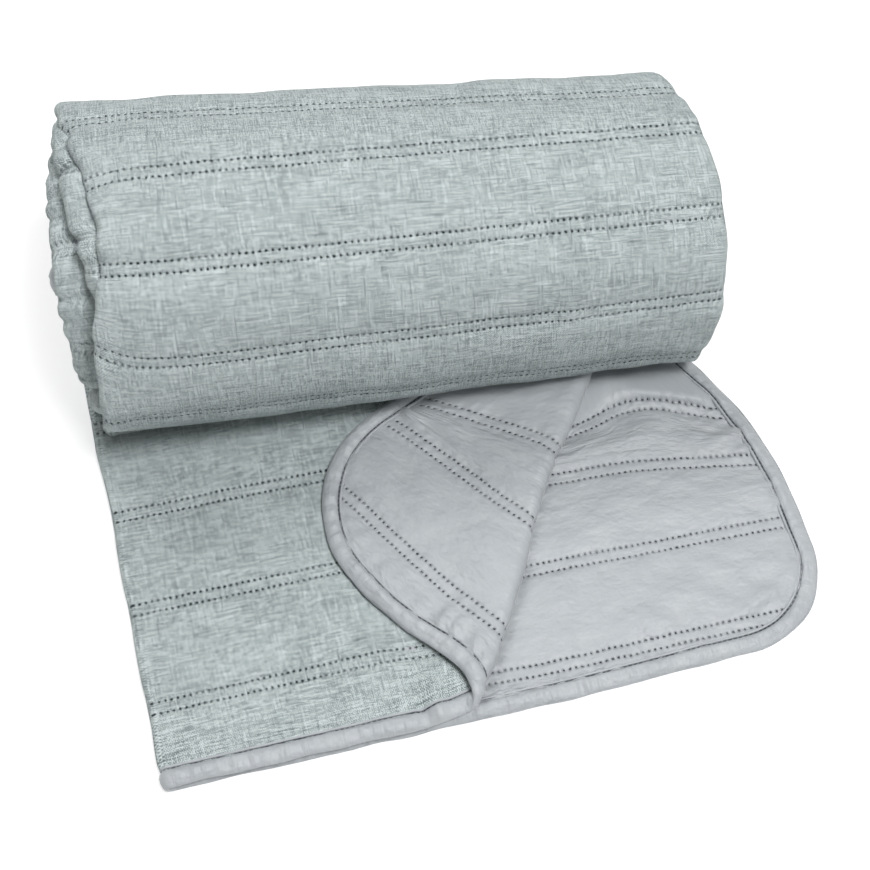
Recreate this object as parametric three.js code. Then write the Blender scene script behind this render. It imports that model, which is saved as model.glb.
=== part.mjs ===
// A quilted bedspread, folded lengthwise and rolled up, with its loose end laid out in front
// of the roll. The top layer's rounded corner is turned back and shows the smooth reverse.
// Millimetres, +Z up. X runs along the roll, the loose end comes out towards -Y, and the
// origin is the middle of the footprint, on the surface that the bedspread lies on.
import * as THREE from 'three';

// Roll
const ROLL_LENGTH = 518;
const ROLL_RADIUS_LEFT = 137.5;
const ROLL_RADIUS_RIGHT = 111.5;
const ROLL_LEFT_X = -264;
const ROLL_AXIS_Y = 131.5;
const SAG_LEFT = 2;
const SAG_RIGHT = 20;
const SAG_ANGLE = -22;
const FLAT_SPOT_SINK = 2;
const TURNS = 5.5;
const LEFT_FOLDS_STAND_OUT = 30;
const RIGHT_EDGE_STAND_OUT = 6;
const END_RIDGE = 4;
const END_ROUNDING = 12;

// Quilting: a pair of stitched rows is one channel, and the cloth puffs up between channels
const ROLL_PUFF = 3.2;
const SHEET_PUFF = 1.8;
const CHANNEL_HALF_WIDTH = 8;

// Angle of each stitched channel round the roll, from the front over the top, in degrees
const ROLL_CHANNELS = [-58, -26, 14, 49.3, 83.1, 108.4, 143, 177, 211, 244];

// Loose end: one flat cloth, folded at its left side, in its own frame turned by its yaw
const SHEET_ORIGIN = [-271.7, 60.6];
const SHEET_YAW = 3.32;
const CLOTH_HALF = 3;
const PANEL_GAP_HALF = 0.15;
const LEFT_FOLD_RADIUS = 3.6;
const FRONT_V = -328;
const LOWER_WIDTH = 557;
const LOWER_EDGE_BOW = 40;
const LOWER_CORNER = 82;
const TOP_WIDTH = 510;
const TOP_CORNER = 88;
const BINDING_WIDTH = 13;
const PIECE_GAP = 0.3;

// The corner is turned back along this line, given by two points of the sheet's frame
const FLAP_LINE_BACK = [423, -49];
const FLAP_LINE_FRONT = [244, -332];
const FLAP_RADIUS = 6;
const FLAP_SETTLES_OVER = 70;
const FLAP_LAYER_RISE = 6.5;
const FLAP_BACK_Y = 32.5;
const FLAP_CURL_LINES = [0, 5, 10, 16, 24];

// Where each stitched channel of the loose end lies, at four places across the cloth
const SHEET_CHANNELS = [
  { lowerEdge: -94, leftFold: 2, flapFold: -8, topEdge: -60 },
  { lowerEdge: -149, leftFold: -88, flapFold: -104, topEdge: -164 },
  { lowerEdge: -219, leftFold: -176, flapFold: -178, topEdge: -214 },
  { lowerEdge: -300, leftFold: -263, flapFold: -262, topEdge: -286 },
];

const RAD = Math.PI / 180;
const SHEET_TOP_MID = CLOTH_HALF + 2 * LEFT_FOLD_RADIUS;
const ROLL_CLEARS = SHEET_TOP_MID + CLOTH_HALF + PIECE_GAP;
const ROLL_STEP_Y = ROLL_AXIS_Y - 2.5;
const SHEET_BACK_Y = ROLL_AXIS_Y - 4;

const lerp = (a, b, t) => a + (b - a) * t;
const clamp01 = (t) => Math.min(1, Math.max(0, t));
const smooth = (t) => clamp01(t) ** 2 * (3 - 2 * clamp01(t));

const FACE = new THREE.MeshStandardMaterial({ color: 0x93a5a3, roughness: 0.9, metalness: 0 });
const REVERSE = new THREE.MeshStandardMaterial({ color: 0x9fabb0, roughness: 0.55, metalness: 0 });
const BOUND = new THREE.MeshStandardMaterial({ color: 0x98a5aa, roughness: 0.55, metalness: 0 });

// A closed mesh from rings of points that all have the same count, with both ends shut
function loft(rings, name, material, startCap, endCap) {
  const count = rings[0].length;
  const points = rings.flat();
  const index = [];
  for (let i = 0; i + 1 < rings.length; i += 1) {
    for (let j = 0; j < count; j += 1) {
      const a = i * count + j;
      const b = i * count + ((j + 1) % count);
      index.push(a, b + count, b, a, a + count, b + count);
    }
  }
  const shut = (ring, centre, flip) => {
    points.push(centre);
    const middle = points.length - 1;
    for (let j = 0; j < count; j += 1) {
      const a = ring * count + j;
      const b = ring * count + ((j + 1) % count);
      index.push(...(flip ? [middle, b, a] : [middle, a, b]));
    }
  };
  shut(0, startCap, false);
  shut(rings.length - 1, endCap, true);
  return solid(points, index, name, material);
}

function solid(points, index, name, material) {
  const geometry = new THREE.BufferGeometry();
  geometry.setAttribute('position', new THREE.Float32BufferAttribute(points.flat(), 3));
  geometry.setIndex(index);
  geometry.computeVertexNormals();
  const mesh = new THREE.Mesh(geometry, material);
  mesh.name = name;
  return mesh;
}

// Height of the puff at an angle of the roll: nothing in a channel, full between two channels
function rollPuff(angle) {
  const count = ROLL_CHANNELS.length;
  for (let i = 0; i < count; i += 1) {
    const from = ROLL_CHANNELS[i];
    const to = i + 1 < count ? ROLL_CHANNELS[i + 1] : ROLL_CHANNELS[0] + 360;
    if (angle >= from && angle <= to) {
      return ROLL_PUFF * (Math.sin(Math.PI * (angle - from) / (to - from)) ** 0.6 - 1);
    }
  }
  return 0;
}

// Angles at which the roll's section has a point: close together at the channels
function sectionAngles() {
  const steps = [0, 0.07, 0.24, 0.5, 0.76, 0.93];
  const angles = [];
  ROLL_CHANNELS.forEach((from, i) => {
    const last = i + 1 === ROLL_CHANNELS.length;
    const to = last ? 258 : ROLL_CHANNELS[i + 1];
    steps.forEach((t) => angles.push(from + (to - from) * t));
  });
  return angles;
}

// One section of the roll as [y, z] points: round with its puffs, sagging to the front, and
// cut away below for the loose end, with a flat spot behind it
function rollSection(x) {
  const along = (x - ROLL_LEFT_X) / ROLL_LENGTH;
  const radius = lerp(ROLL_RADIUS_LEFT, ROLL_RADIUS_RIGHT, clamp01(along));
  const sag = lerp(SAG_LEFT, SAG_RIGHT, clamp01(along));
  const middle = radius - FLAT_SPOT_SINK;
  const points = sectionAngles().map((angle) => {
    const bulge = sag * Math.max(0, Math.cos((angle - SAG_ANGLE) * RAD)) ** 2;
    const r = radius + bulge + rollPuff(angle);
    const y = ROLL_AXIS_Y - r * Math.cos(angle * RAD);
    const z = middle + r * Math.sin(angle * RAD);
    return [y, Math.max(z, y > ROLL_AXIS_Y ? 0 : ROLL_CLEARS)];
  });
  const rear = Math.sqrt(radius ** 2 - middle ** 2);
  points.push([ROLL_AXIS_Y + rear, 0]);
  points.push([ROLL_STEP_Y, 0]);
  points.push([ROLL_STEP_Y, ROLL_CLEARS]);
  return { points, middle };
}

// How far an end of the roll stands out at a share of the radius, with the turns as a spiral
function endRelief(share, turn, standOut) {
  const spiral = Math.cos(2 * Math.PI * (share * TURNS - turn));
  const dome = standOut * (1 - share ** 3);
  return dome + END_RIDGE * spiral * smooth((1 - share) * 6) * smooth(share * 4);
}

function makeRoll() {
  const rings = [];
  const shares = [];
  for (let share = 0.12; share < 0.97; share += 0.077) shares.push(share);
  const right = ROLL_LEFT_X + ROLL_LENGTH;
  const endRing = (x, share, way, standOut) => {
    const { points, middle } = rollSection(x);
    return points.map(([y, z]) => {
      const dy = y - ROLL_AXIS_Y;
      const dz = z - middle;
      const turn = way * Math.atan2(dz, -dy) / (2 * Math.PI);
      const out = endRelief(share, turn, standOut);
      const round = share * lerp(0.97 * middle / Math.hypot(dy, dz), 1, share ** 4);
      return [x + way * out, ROLL_AXIS_Y + dy * round, middle + dz * round];
    });
  };
  shares.forEach((share) => rings.push(endRing(ROLL_LEFT_X, share, -1, LEFT_FOLDS_STAND_OUT)));
  const steps = 20;
  for (let i = 0; i <= steps; i += 1) {
    const inset = i === 0 || i === steps ? 0.975 : 1;
    const x = i === 0 || i === steps
      ? lerp(ROLL_LEFT_X, right, i / steps)
      : lerp(ROLL_LEFT_X + END_ROUNDING, right - END_ROUNDING, (i - 1) / (steps - 2));
    const { points, middle } = rollSection(x);
    rings.push(points.map(([y, z]) => [x, ROLL_AXIS_Y + (y - ROLL_AXIS_Y) * inset,
      middle + (z - middle) * inset]));
  }
  [...shares].reverse().forEach((share) => {
    rings.push(endRing(right, share, 1, RIGHT_EDGE_STAND_OUT));
  });
  const leftMiddle = rollSection(ROLL_LEFT_X).middle;
  const rightMiddle = rollSection(right).middle;
  return loft(rings, 'roll', FACE,
    [ROLL_LEFT_X - LEFT_FOLDS_STAND_OUT, ROLL_AXIS_Y, leftMiddle],
    [right + RIGHT_EDGE_STAND_OUT, ROLL_AXIS_Y, rightMiddle]);
}

// Turned-back corner: its line, and the direction across it in the sheet's frame
const flapAlong = new THREE.Vector2(
  FLAP_LINE_FRONT[0] - FLAP_LINE_BACK[0], FLAP_LINE_FRONT[1] - FLAP_LINE_BACK[1]).normalize();
const flapAcross = new THREE.Vector2(-flapAlong.y, flapAlong.x);
const flapLineU = (v) => FLAP_LINE_BACK[0] + (v - FLAP_LINE_BACK[1]) * flapAlong.x / flapAlong.y;

// A point of the sheet's frame, with its height, in the part's frame
function place(u, v, z) {
  const c = Math.cos(SHEET_YAW * RAD);
  const s = Math.sin(SHEET_YAW * RAD);
  return [SHEET_ORIGIN[0] + u * c - v * s, SHEET_ORIGIN[1] + u * s + v * c, z];
}

// Where a point of the flat cloth comes to lie. a is the place across it: below minus the
// fold radius the lower layer, between the two the left fold, above it the top layer, which
// turns back past the flap's line. lift is the height above the cloth's middle, face side up.
function drape(a, v, lift) {
  const r = LEFT_FOLD_RADIUS;
  if (a < -r) return place(-a, v, CLOTH_HALF - lift);
  if (a <= r) {
    const turn = (a / r) * Math.PI / 2;
    return place(r - (r + lift) * Math.cos(turn), v, CLOTH_HALF + r + (r + lift) * Math.sin(turn));
  }
  const past = (a - FLAP_LINE_BACK[0]) * flapAcross.x + (v - FLAP_LINE_BACK[1]) * flapAcross.y;
  if (past <= 0) return place(a, v, SHEET_TOP_MID + lift);
  const turn = Math.min(past / FLAP_RADIUS, Math.PI);
  const beyond = Math.max(0, past - Math.PI * FLAP_RADIUS);
  const settle = (2 * FLAP_RADIUS - FLAP_LAYER_RISE) * smooth(beyond / FLAP_SETTLES_OVER);
  const shift = (FLAP_RADIUS - lift) * Math.sin(turn) - beyond - past;
  const z = SHEET_TOP_MID + FLAP_RADIUS - (FLAP_RADIUS - lift) * Math.cos(turn) - settle;
  return place(a + flapAcross.x * shift, v + flapAcross.y * shift, z);
}

// Height at which the back of the flap or of the whole sheet ends, as a v of its frame
const backV = (u, y) => (y - SHEET_ORIGIN[1] - u * Math.sin(SHEET_YAW * RAD))
  / Math.cos(SHEET_YAW * RAD);
const FLAP_START_V = backV(flapLineU(-38), FLAP_BACK_Y);

// The turned-back cloth ends under the roll: that line, mirrored into the flat cloth
function flapEndU(v) {
  const way = new THREE.Vector2(-Math.cos(SHEET_YAW * RAD), Math.sin(SHEET_YAW * RAD));
  const mirrored = way.sub(flapAcross.clone().multiplyScalar(2 * way.dot(flapAcross)));
  return flapLineU(FLAP_START_V) + (v - FLAP_START_V) * mirrored.x / mirrored.y;
}

const corner = (v, radius, front) => {
  const down = clamp01((front + radius - v) / radius);
  return radius * (1 - Math.sqrt(Math.max(0, 1 - down ** 2)));
};

// Outer edge of the lower layer and of the top layer, at a distance in from the bound edge
function lowerEdge(v, inset) {
  const bow = LOWER_EDGE_BOW * Math.min(1, Math.max(0, (v + 200) / 153) ** 2);
  return LOWER_WIDTH - bow - inset - corner(v, LOWER_CORNER - inset, FRONT_V + inset);
}

function topEdge(v, inset) {
  if (v >= FLAP_START_V) return flapLineU(v);
  const bound = TOP_WIDTH - inset - corner(v, TOP_CORNER - inset, FRONT_V + inset);
  return Math.min(bound, flapEndU(v));
}

// v of a channel at a place across the cloth
function channelV(row, a) {
  if (a < 0) return lerp(row.leftFold, row.lowerEdge, clamp01(-a / LOWER_WIDTH));
  const fold = flapLineU(row.flapFold);
  if (a < fold) return lerp(row.leftFold, row.flapFold, clamp01(a / fold));
  return lerp(row.flapFold, row.topEdge, clamp01((a - fold) / (TOP_WIDTH - fold)));
}

// The lines along which the sheet has points, back to front: each a v and a puff share
const INSET = BINDING_WIDTH;
function sheetLines() {
  const w = CHANNEL_HALF_WIDTH;
  const front = FRONT_V + INSET;
  const below = (row) => (a) => Math.max(channelV(row, a) - w, front + 5);
  const lines = [{ at: (a) => backV(Math.abs(a), SHEET_BACK_Y), puff: 0.7 }];
  const between = (from, to, puffs) => puffs.forEach(({ share, puff }) => {
    lines.push({ at: (a) => lerp(from(a), to(a), share), puff });
  });
  const foldA = flapLineU(FLAP_START_V);
  SHEET_CHANNELS.forEach((row, i) => {
    const above = (a) => channelV(row, a) + w;
    if (i > 0) {
      const from = below(SHEET_CHANNELS[i - 1]);
      const gap = from(foldA) - above(foldA);
      const flapStarts = FLAP_CURL_LINES.map((on) => (from(foldA) - FLAP_START_V + on) / gap);
      const shares = i === 1 ? flapStarts : [0.5];
      between(from, above, shares.map((share) => ({ share, puff: 1 })));
    }
    lines.push({ at: above, puff: 0.6 });
    lines.push({ at: (a) => channelV(row, a), puff: 0 });
    lines.push({ at: below(row), puff: 0.6 });
  });
  const last = SHEET_CHANNELS[SHEET_CHANNELS.length - 1];
  between(below(last), () => front, [{ share: 0.4, puff: 1 }, { share: 0.8, puff: 0.8 }]);
  lines.push({ at: () => front, puff: 0.6 });
  return lines;
}

// The place on a slanting line where it meets an edge or a fold that depends on v
function meet(line, edgeAt) {
  let a = edgeAt(FRONT_V / 2);
  for (let i = 0; i < 30; i += 1) a = edgeAt(line.at(a));
  return a;
}

const lowerMeets = (line) => meet(line, (v) => -lowerEdge(v, INSET));
const topMeets = (line) => meet(line, (v) => topEdge(v, INSET));

// Places across one line of the sheet: the same count on every line, some on one spot
function acrossPlaces(line) {
  const r = LEFT_FOLD_RADIUS;
  const places = [];
  const spread = (from, to, steps, skip) => {
    for (let i = skip; i <= steps; i += 1) places.push(lerp(from, to, i / steps));
  };
  spread(lowerMeets(line), -r, 12, 0);
  spread(-r, r, 5, 1);
  const fold = meet(line, flapLineU);
  const edge = Math.max(topMeets(line), fold);
  const bend = Math.min(fold + Math.PI * FLAP_RADIUS / flapAcross.x, edge);
  spread(r, fold, 11, 1);
  spread(fold, bend, 5, 1);
  spread(bend, edge, 5, 1);
  return places;
}

// A slab of the folded sheet between two heights above its middle, closed round its rim
function makePanel(name, material, low, high) {
  const lines = sheetLines();
  const keys = new Map();
  const flat = [];
  const grid = lines.map((line) => acrossPlaces(line).map((a) => {
    const v = line.at(a);
    const key = `${a.toFixed(2)} ${v.toFixed(2)}`;
    if (!keys.has(key)) {
      keys.set(key, flat.length);
      flat.push([a, v, line.puff]);
    }
    return keys.get(key);
  }));
  const faces = [];
  for (let i = 0; i + 1 < grid.length; i += 1) {
    for (let j = 0; j + 1 < grid[i].length; j += 1) {
      const [a, b, c, d] = [grid[i][j], grid[i][j + 1], grid[i + 1][j + 1], grid[i + 1][j]];
      [[a, d, c], [a, c, b]].forEach((t) => {
        if (new Set(t).size === 3) faces.push(t);
      });
    }
  }
  const count = flat.length;
  const points = [];
  [high, low].forEach((height) => flat.forEach(([a, v, puff]) => {
    points.push(drape(a, v, height(a, puff)));
  }));
  const index = [];
  const edges = new Map();
  faces.forEach(([a, b, c]) => {
    index.push(a, b, c, a + count, c + count, b + count);
    [[a, b], [b, c], [c, a]].forEach(([p, q]) => {
      if (edges.has(`${q} ${p}`)) edges.delete(`${q} ${p}`);
      else edges.set(`${p} ${q}`, [p, q]);
    });
  });
  edges.forEach(([p, q]) => index.push(q, p, p + count, q, p + count, q + count));
  return solid(points, index, name, material);
}

// The face side is flat where it lies on the surface and puffed where it shows
const faceHeight = (a, puff) => (a < 0 ? CLOTH_HALF : CLOTH_HALF - SHEET_PUFF * (1 - puff));
const reverseHeight = (a, puff) => -(CLOTH_HALF - SHEET_PUFF * (1 - puff));

function makeFacePanel() {
  return makePanel('face_panel', FACE, () => PANEL_GAP_HALF, faceHeight);
}

function makeReversePanel() {
  return makePanel('reverse_panel', REVERSE, reverseHeight, () => -PANEL_GAP_HALF);
}

// Steps of the bound edge in the flat cloth, each a place on the panels' rim and the way out
// of it: down the lower layer's side, round its corner, along the front and the left fold to
// the top layer's corner, and up the turned-back side to where it goes under the roll
function bindingSteps() {
  const outOf = (a, v, width, radius) => {
    const middle = [Math.sign(a) * (width - radius), FRONT_V + radius];
    if (v >= middle[1]) return [Math.sign(a), 0];
    const way = new THREE.Vector2(a - middle[0], v - middle[1]).normalize();
    return [way.x, way.y];
  };
  const lines = sheetLines();
  const side = (meets, width, radius) => lines.map((line) => {
    const a = meets(line);
    return { a, v: line.at(a), out: outOf(a, line.at(a), width, radius) };
  });
  const front = lines[lines.length - 1];
  const across = acrossPlaces(front).slice(1, -1)
    .map((a) => ({ a, v: front.at(a), out: [0, -1] }));
  const top = side(topMeets, TOP_WIDTH, TOP_CORNER)
    .filter(({ a, v }) => v < FLAP_START_V && a < flapEndU(v) - 1);
  return [...side(lowerMeets, LOWER_WIDTH, LOWER_CORNER), ...across, ...top.reverse()];
}

function makeBinding() {
  const outline = [
    { out: PIECE_GAP, lift: 1.7 },
    { out: BINDING_WIDTH * 0.45, lift: CLOTH_HALF },
    { out: BINDING_WIDTH - 2, lift: 2.2 },
    { out: BINDING_WIDTH, lift: 1 },
  ];
  const under = outline.map((p) => ({ ...p, lift: -p.lift }));
  const section = [...under, ...[...outline].reverse()];
  const rings = bindingSteps().map(({ a, v, out: way }) => section.map(({ out, lift }) => (
    drape(a + way[0] * out, v + way[1] * out, lift))));
  const middle = (ring) => [0, 1, 2].map((k) => ring.reduce((sum, p) => sum + p[k], 0) / ring.length);
  return loft(rings, 'binding', BOUND, middle(rings[0]), middle(rings[rings.length - 1]));
}

const bedspread = new THREE.Group();
bedspread.add(makeRoll(), makeFacePanel(), makeReversePanel(), makeBinding());

export default bedspread;
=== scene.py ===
# %% [markdown]
# # A quilted bedspread, folded and rolled
# The real thing is one large quilted cloth: a sage melange face, a smooth silver reverse and a
# tape bound round its rim. It is folded to a quarter of its width and rolled from one end, and
# its loose end lies in front of the roll with one rounded corner turned back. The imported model
# gives the frame, and every piece below is placed in that frame by named sizes.

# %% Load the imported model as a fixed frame
import math

import bmesh
import bpy
import numpy as np
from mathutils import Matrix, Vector


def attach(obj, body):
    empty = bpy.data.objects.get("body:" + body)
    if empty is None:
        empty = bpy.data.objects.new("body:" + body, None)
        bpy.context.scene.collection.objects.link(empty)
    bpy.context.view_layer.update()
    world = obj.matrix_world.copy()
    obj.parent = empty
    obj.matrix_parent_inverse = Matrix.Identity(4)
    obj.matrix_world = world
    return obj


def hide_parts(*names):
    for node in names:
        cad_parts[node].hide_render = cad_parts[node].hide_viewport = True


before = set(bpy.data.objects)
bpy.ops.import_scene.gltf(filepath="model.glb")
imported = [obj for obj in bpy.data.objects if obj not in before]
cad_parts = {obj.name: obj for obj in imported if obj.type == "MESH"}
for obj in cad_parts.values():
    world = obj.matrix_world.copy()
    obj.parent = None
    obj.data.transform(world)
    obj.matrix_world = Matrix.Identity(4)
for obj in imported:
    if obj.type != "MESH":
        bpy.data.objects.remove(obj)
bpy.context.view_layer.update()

MM = 0.001

# %% [markdown]
# ## Camera
# The photograph looks down at the bedspread from the front left, at 58 degrees. A fairly long
# lens keeps the stitched rows almost parallel, as they are there. A camera could be placed by
# eye, but this one stands where a fit of the row and stitch spacing put it. It has no shift and
# no depth of field.

# %% Camera
CAMERA_AT = Vector((-0.1266, -0.7475, 1.2349))
CAMERA_AIM = Vector((0.0132, 0.0114, 0.0))
CAMERA_LENS = 70.35
camera_data = bpy.data.cameras.new("camera")
camera_data.lens = CAMERA_LENS
camera = bpy.data.objects.new("camera", camera_data)
camera.location = CAMERA_AT
camera.rotation_euler = (CAMERA_AIM - CAMERA_AT).to_track_quat("-Z", "Y").to_euler()
bpy.context.scene.collection.objects.link(camera)
bpy.context.scene.camera = camera
print("camera at", [round(c, 3) for c in CAMERA_AT], "with a lens of", CAMERA_LENS)

# %% [markdown]
# ## Shared sizes
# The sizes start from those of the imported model, in millimetres, so that the fine cloth lies on
# the solids it replaces. Rows are stitched in pairs, and a pair is called a channel here. A
# size that only one step needs is named where that step begins.

# %% Sizes of the roll, in millimetres
ROLL_RADIUS_LEFT = 138.2
ROLL_RADIUS_RIGHT = 112.3
ROLL_LEFT_X = -264
ROLL_RIGHT_X = 254
ROLL_AXIS_Y = 131.5
print("roll, mm long", ROLL_RIGHT_X - ROLL_LEFT_X, "radius", ROLL_RADIUS_LEFT, ROLL_RADIUS_RIGHT)

# %% Sizes of the loose end, in millimetres
SHEET_ORIGIN = (-271.7, 60.6)
SHEET_YAW = math.radians(3.32)
CLOTH_HALF = 3.0
LEFT_FOLD_RADIUS = 3.6
FRONT_V = -328
LOWER_WIDTH = 557
LOWER_EDGE_BOW = 40
LOWER_CORNER = 82
TOP_WIDTH = 513
TOP_CORNER = 114
BINDING_WIDTH = 13
# The flap is the corner of the top layer that is turned back
FLAP_LINE_BACK = np.array([415.8, -44.5])
FLAP_LINE_FRONT = np.array([236.8, -327.5])
FLAP_RADIUS = 6.0
FLAP_SETTLES_OVER = 70
FLAP_LAYER_RISE = 6.5
FLAP_BACK_Y = 58
SHEET_TOP_MID = CLOTH_HALF + 2 * LEFT_FOLD_RADIUS
ROLL_CLEARS = SHEET_TOP_MID + CLOTH_HALF + 0.3
SHEET_BACK_Y = ROLL_AXIS_Y - 1
print("loose end, mm wide below", LOWER_WIDTH, "and above", TOP_WIDTH)

# %% Small helpers for lengths that blend
RIPPLE_WAVES, RIPPLE_SPREAD = 7, 4.5


def lerp(a, b, t):
    return a + (b - a) * t


def smooth(t):
    t = np.clip(t, 0, 1)
    return t * t * (3 - 2 * t)


def ripple(x, y, seed, size):
    """A soft uneven surface, mostly from minus 1 to 1: crossing waves of about one size."""
    rng = np.random.default_rng(seed)
    total = 0
    for _ in range(RIPPLE_WAVES):
        turn, phase = rng.uniform(0, 2 * math.pi, 2)
        wave = rng.uniform(0.6, 1.7) * 2 * math.pi / size
        total = total + np.sin((x * math.cos(turn) + y * math.sin(turn)) * wave + phase)
    return total / RIPPLE_SPREAD


# %% [markdown]
# ## From stitched rows to places
# Both the roll and the loose end are laid out by a row coordinate w. It grows by one pitch from
# channel to channel, and close to a channel it is a true length, so the stitch holes stay round.
# Between channels it stretches, because cloth that is rolled or laid out is never quite even.
# An even grid would be simpler, but its rows would miss the ones in the photograph.

# %% Sizes of the quilting, in millimetres
PITCH = 76.2
HALF_PAIR = 4.7
STITCH = 5.0
TRUE_NEAR = 10.0
PUFF_RISES_OVER, PUFF_IN_PAIR = 8.5, 0.16
PUCKER_LENGTH, PUCKER_SWAY, PUCKER_REACH = 10.3, 2.2, 5.5
CLOSE = [0, 1.3, 2.6, 3.9, 4.7, 5.5, 6.8, 8.6, 11, 14.5, 19, 25, 31]
OFFSETS = [-o for o in reversed(CLOSE[1:])] + CLOSE + [PITCH / 2]
print("grid lines in a pitch", len(OFFSETS))


# %% Row coordinate
def row_lines(channels):
    """The w of each grid line of a quilted piece that has so many channels."""
    return [k * PITCH + o for k in range(channels) for o in OFFSETS]


def place_of_row(w, centres, gap_before, gap_after):
    """Where a line lies, from the places of the channels, which may be arrays."""
    k = int(np.clip(round(w / PITCH), 0, len(centres) - 1))
    offset = w - k * PITCH
    near = np.clip(offset, -TRUE_NEAR, TRUE_NEAR)
    if offset >= 0:
        reach = (centres[k + 1] - centres[k]) / 2 if k + 1 < len(centres) else gap_after
    else:
        reach = (centres[k] - centres[k - 1]) / 2 if k > 0 else gap_before
    stretch = (reach - TRUE_NEAR) / (PITCH / 2 - TRUE_NEAR)
    return centres[k] + near + (offset - near) * stretch


def from_channel(w):
    """How far a line lies from the middle of the nearest channel."""
    return np.abs((w + PITCH / 2) % PITCH - PITCH / 2)


def puff_share(w):
    """0 on a stitched row, a little more between the pair, and 1 midway between channels."""
    away = from_channel(w)
    outside = 1 - np.exp(-np.clip(away - HALF_PAIR, 0, None) / PUFF_RISES_OVER)
    between = PUFF_IN_PAIR * (1 - np.clip(away / HALF_PAIR, 0, 1) ** 2)
    return np.where(away < HALF_PAIR, between, outside)


def stitch_pucker(s, w, seed):
    """Small creases that the thread draws in beside its rows."""
    away = from_channel(w) - HALF_PAIR
    wave = np.sin(s * 2 * math.pi / PUCKER_LENGTH + PUCKER_SWAY * ripple(s, w, seed, 46))
    return wave * np.exp(-(away / PUCKER_REACH) ** 2)


# %% [markdown]
# ## Cloth from a grid
# Each cloth starts as a flat bmesh grid. Its points are moved to where the cloth lies, its UV
# map keeps the flat place of each point in metres, and Solidify gives it a real thickness. A
# cloth simulation could fold it too, but it wouldn't stop at the folds that the photo shows.

# %% Grid cloth
def cloth(name, points, uv, material, thickness=0.0, inside_out=False):
    """points[row, column] in millimetres and uv[row, column] in metres make one cloth object.
    A cloth with a thickness is a sheet, and one without is a tube that is closed at its ends."""
    rows, columns = points.shape[:2]
    bm = bmesh.new()
    bmesh.ops.create_grid(bm, x_segments=columns - 1, y_segments=rows - 1, size=0.5)
    bm.verts.ensure_lookup_table()
    spot = {}
    for vert in bm.verts:
        i = round((vert.co.y + 0.5) * (rows - 1))
        j = round((vert.co.x + 0.5) * (columns - 1))
        spot[vert.index] = (i, j)
    layer = bm.loops.layers.uv.new("cloth")
    for face in bm.faces:
        face.smooth = True
        for loop in face.loops:
            i, j = spot[loop.vert.index]
            loop[layer].uv = uv[i, j]
    for vert in bm.verts:
        i, j = spot[vert.index]
        vert.co = points[i, j] * MM
    if inside_out:
        bmesh.ops.reverse_faces(bm, faces=bm.faces)
    # Points that fall together are merged, which closes the seam of a tube
    bmesh.ops.remove_doubles(bm, verts=bm.verts, dist=2e-6)
    bmesh.ops.dissolve_degenerate(bm, edges=bm.edges, dist=1e-6)
    if not thickness:
        bmesh.ops.holes_fill(bm, edges=[e for e in bm.edges if e.is_boundary], sides=0)
        bmesh.ops.recalc_face_normals(bm, faces=bm.faces)
    mesh = bpy.data.meshes.new(name)
    bm.to_mesh(mesh)
    bm.free()
    thing = bpy.data.objects.new(name, mesh)
    bpy.context.scene.collection.objects.link(thing)
    mesh.materials.append(material)
    if thickness:
        wall = thing.modifiers.new("thickness", "SOLIDIFY")
        wall.thickness = thickness * MM
        wall.offset = -1
        wall.use_rim = True
    print(name, len(mesh.vertices), "points")
    return thing


# %% [markdown]
# ## Shader maths as Python
# A socket is wrapped in a small class, so that sums and products of values add their own Math
# nodes. Every other node comes from one method that takes its type, settings and inputs. The
# same nodes could be placed by hand in the editor, but a formula is easier to read and change.

# %% Values that can be added and multiplied
class Value:
    """A socket of a node tree on which Python's operators work."""

    def __init__(self, paint, socket):
        self.paint, self.socket = paint, socket

    def _math(self, operation, *others):
        return self.paint.node("ShaderNodeMath", {"operation": operation}, [self, *others])[0]

    def _reflected(self, operation, other):
        return self.paint.node("ShaderNodeMath", {"operation": operation}, [other, self])[0]

    def __add__(self, other):
        return self._math("ADD", other)

    def __sub__(self, other):
        return self._math("SUBTRACT", other)

    def __mul__(self, other):
        return self._math("MULTIPLY", other)

    def __truediv__(self, other):
        return self._math("DIVIDE", other)

    def __rsub__(self, other):
        return self._reflected("SUBTRACT", other)

    def __rtruediv__(self, other):
        return self._reflected("DIVIDE", other)

    __radd__ = __add__
    __rmul__ = __mul__

    def floored_mod(self, other):
        return self._math("FLOORED_MODULO", other)

    def absolute(self):
        return self._math("ABSOLUTE")

    def root(self):
        return self._math("SQRT")

    def sine(self):
        return self._math("SINE")

    def between(self, low, high):
        """0 below low and 1 above high, softly."""
        settings = {"interpolation_type": "SMOOTHSTEP", "clamp": True}
        return self.paint.node("ShaderNodeMapRange", settings,
                               {"Value": self, "From Min": low, "From Max": high})[0]


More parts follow.
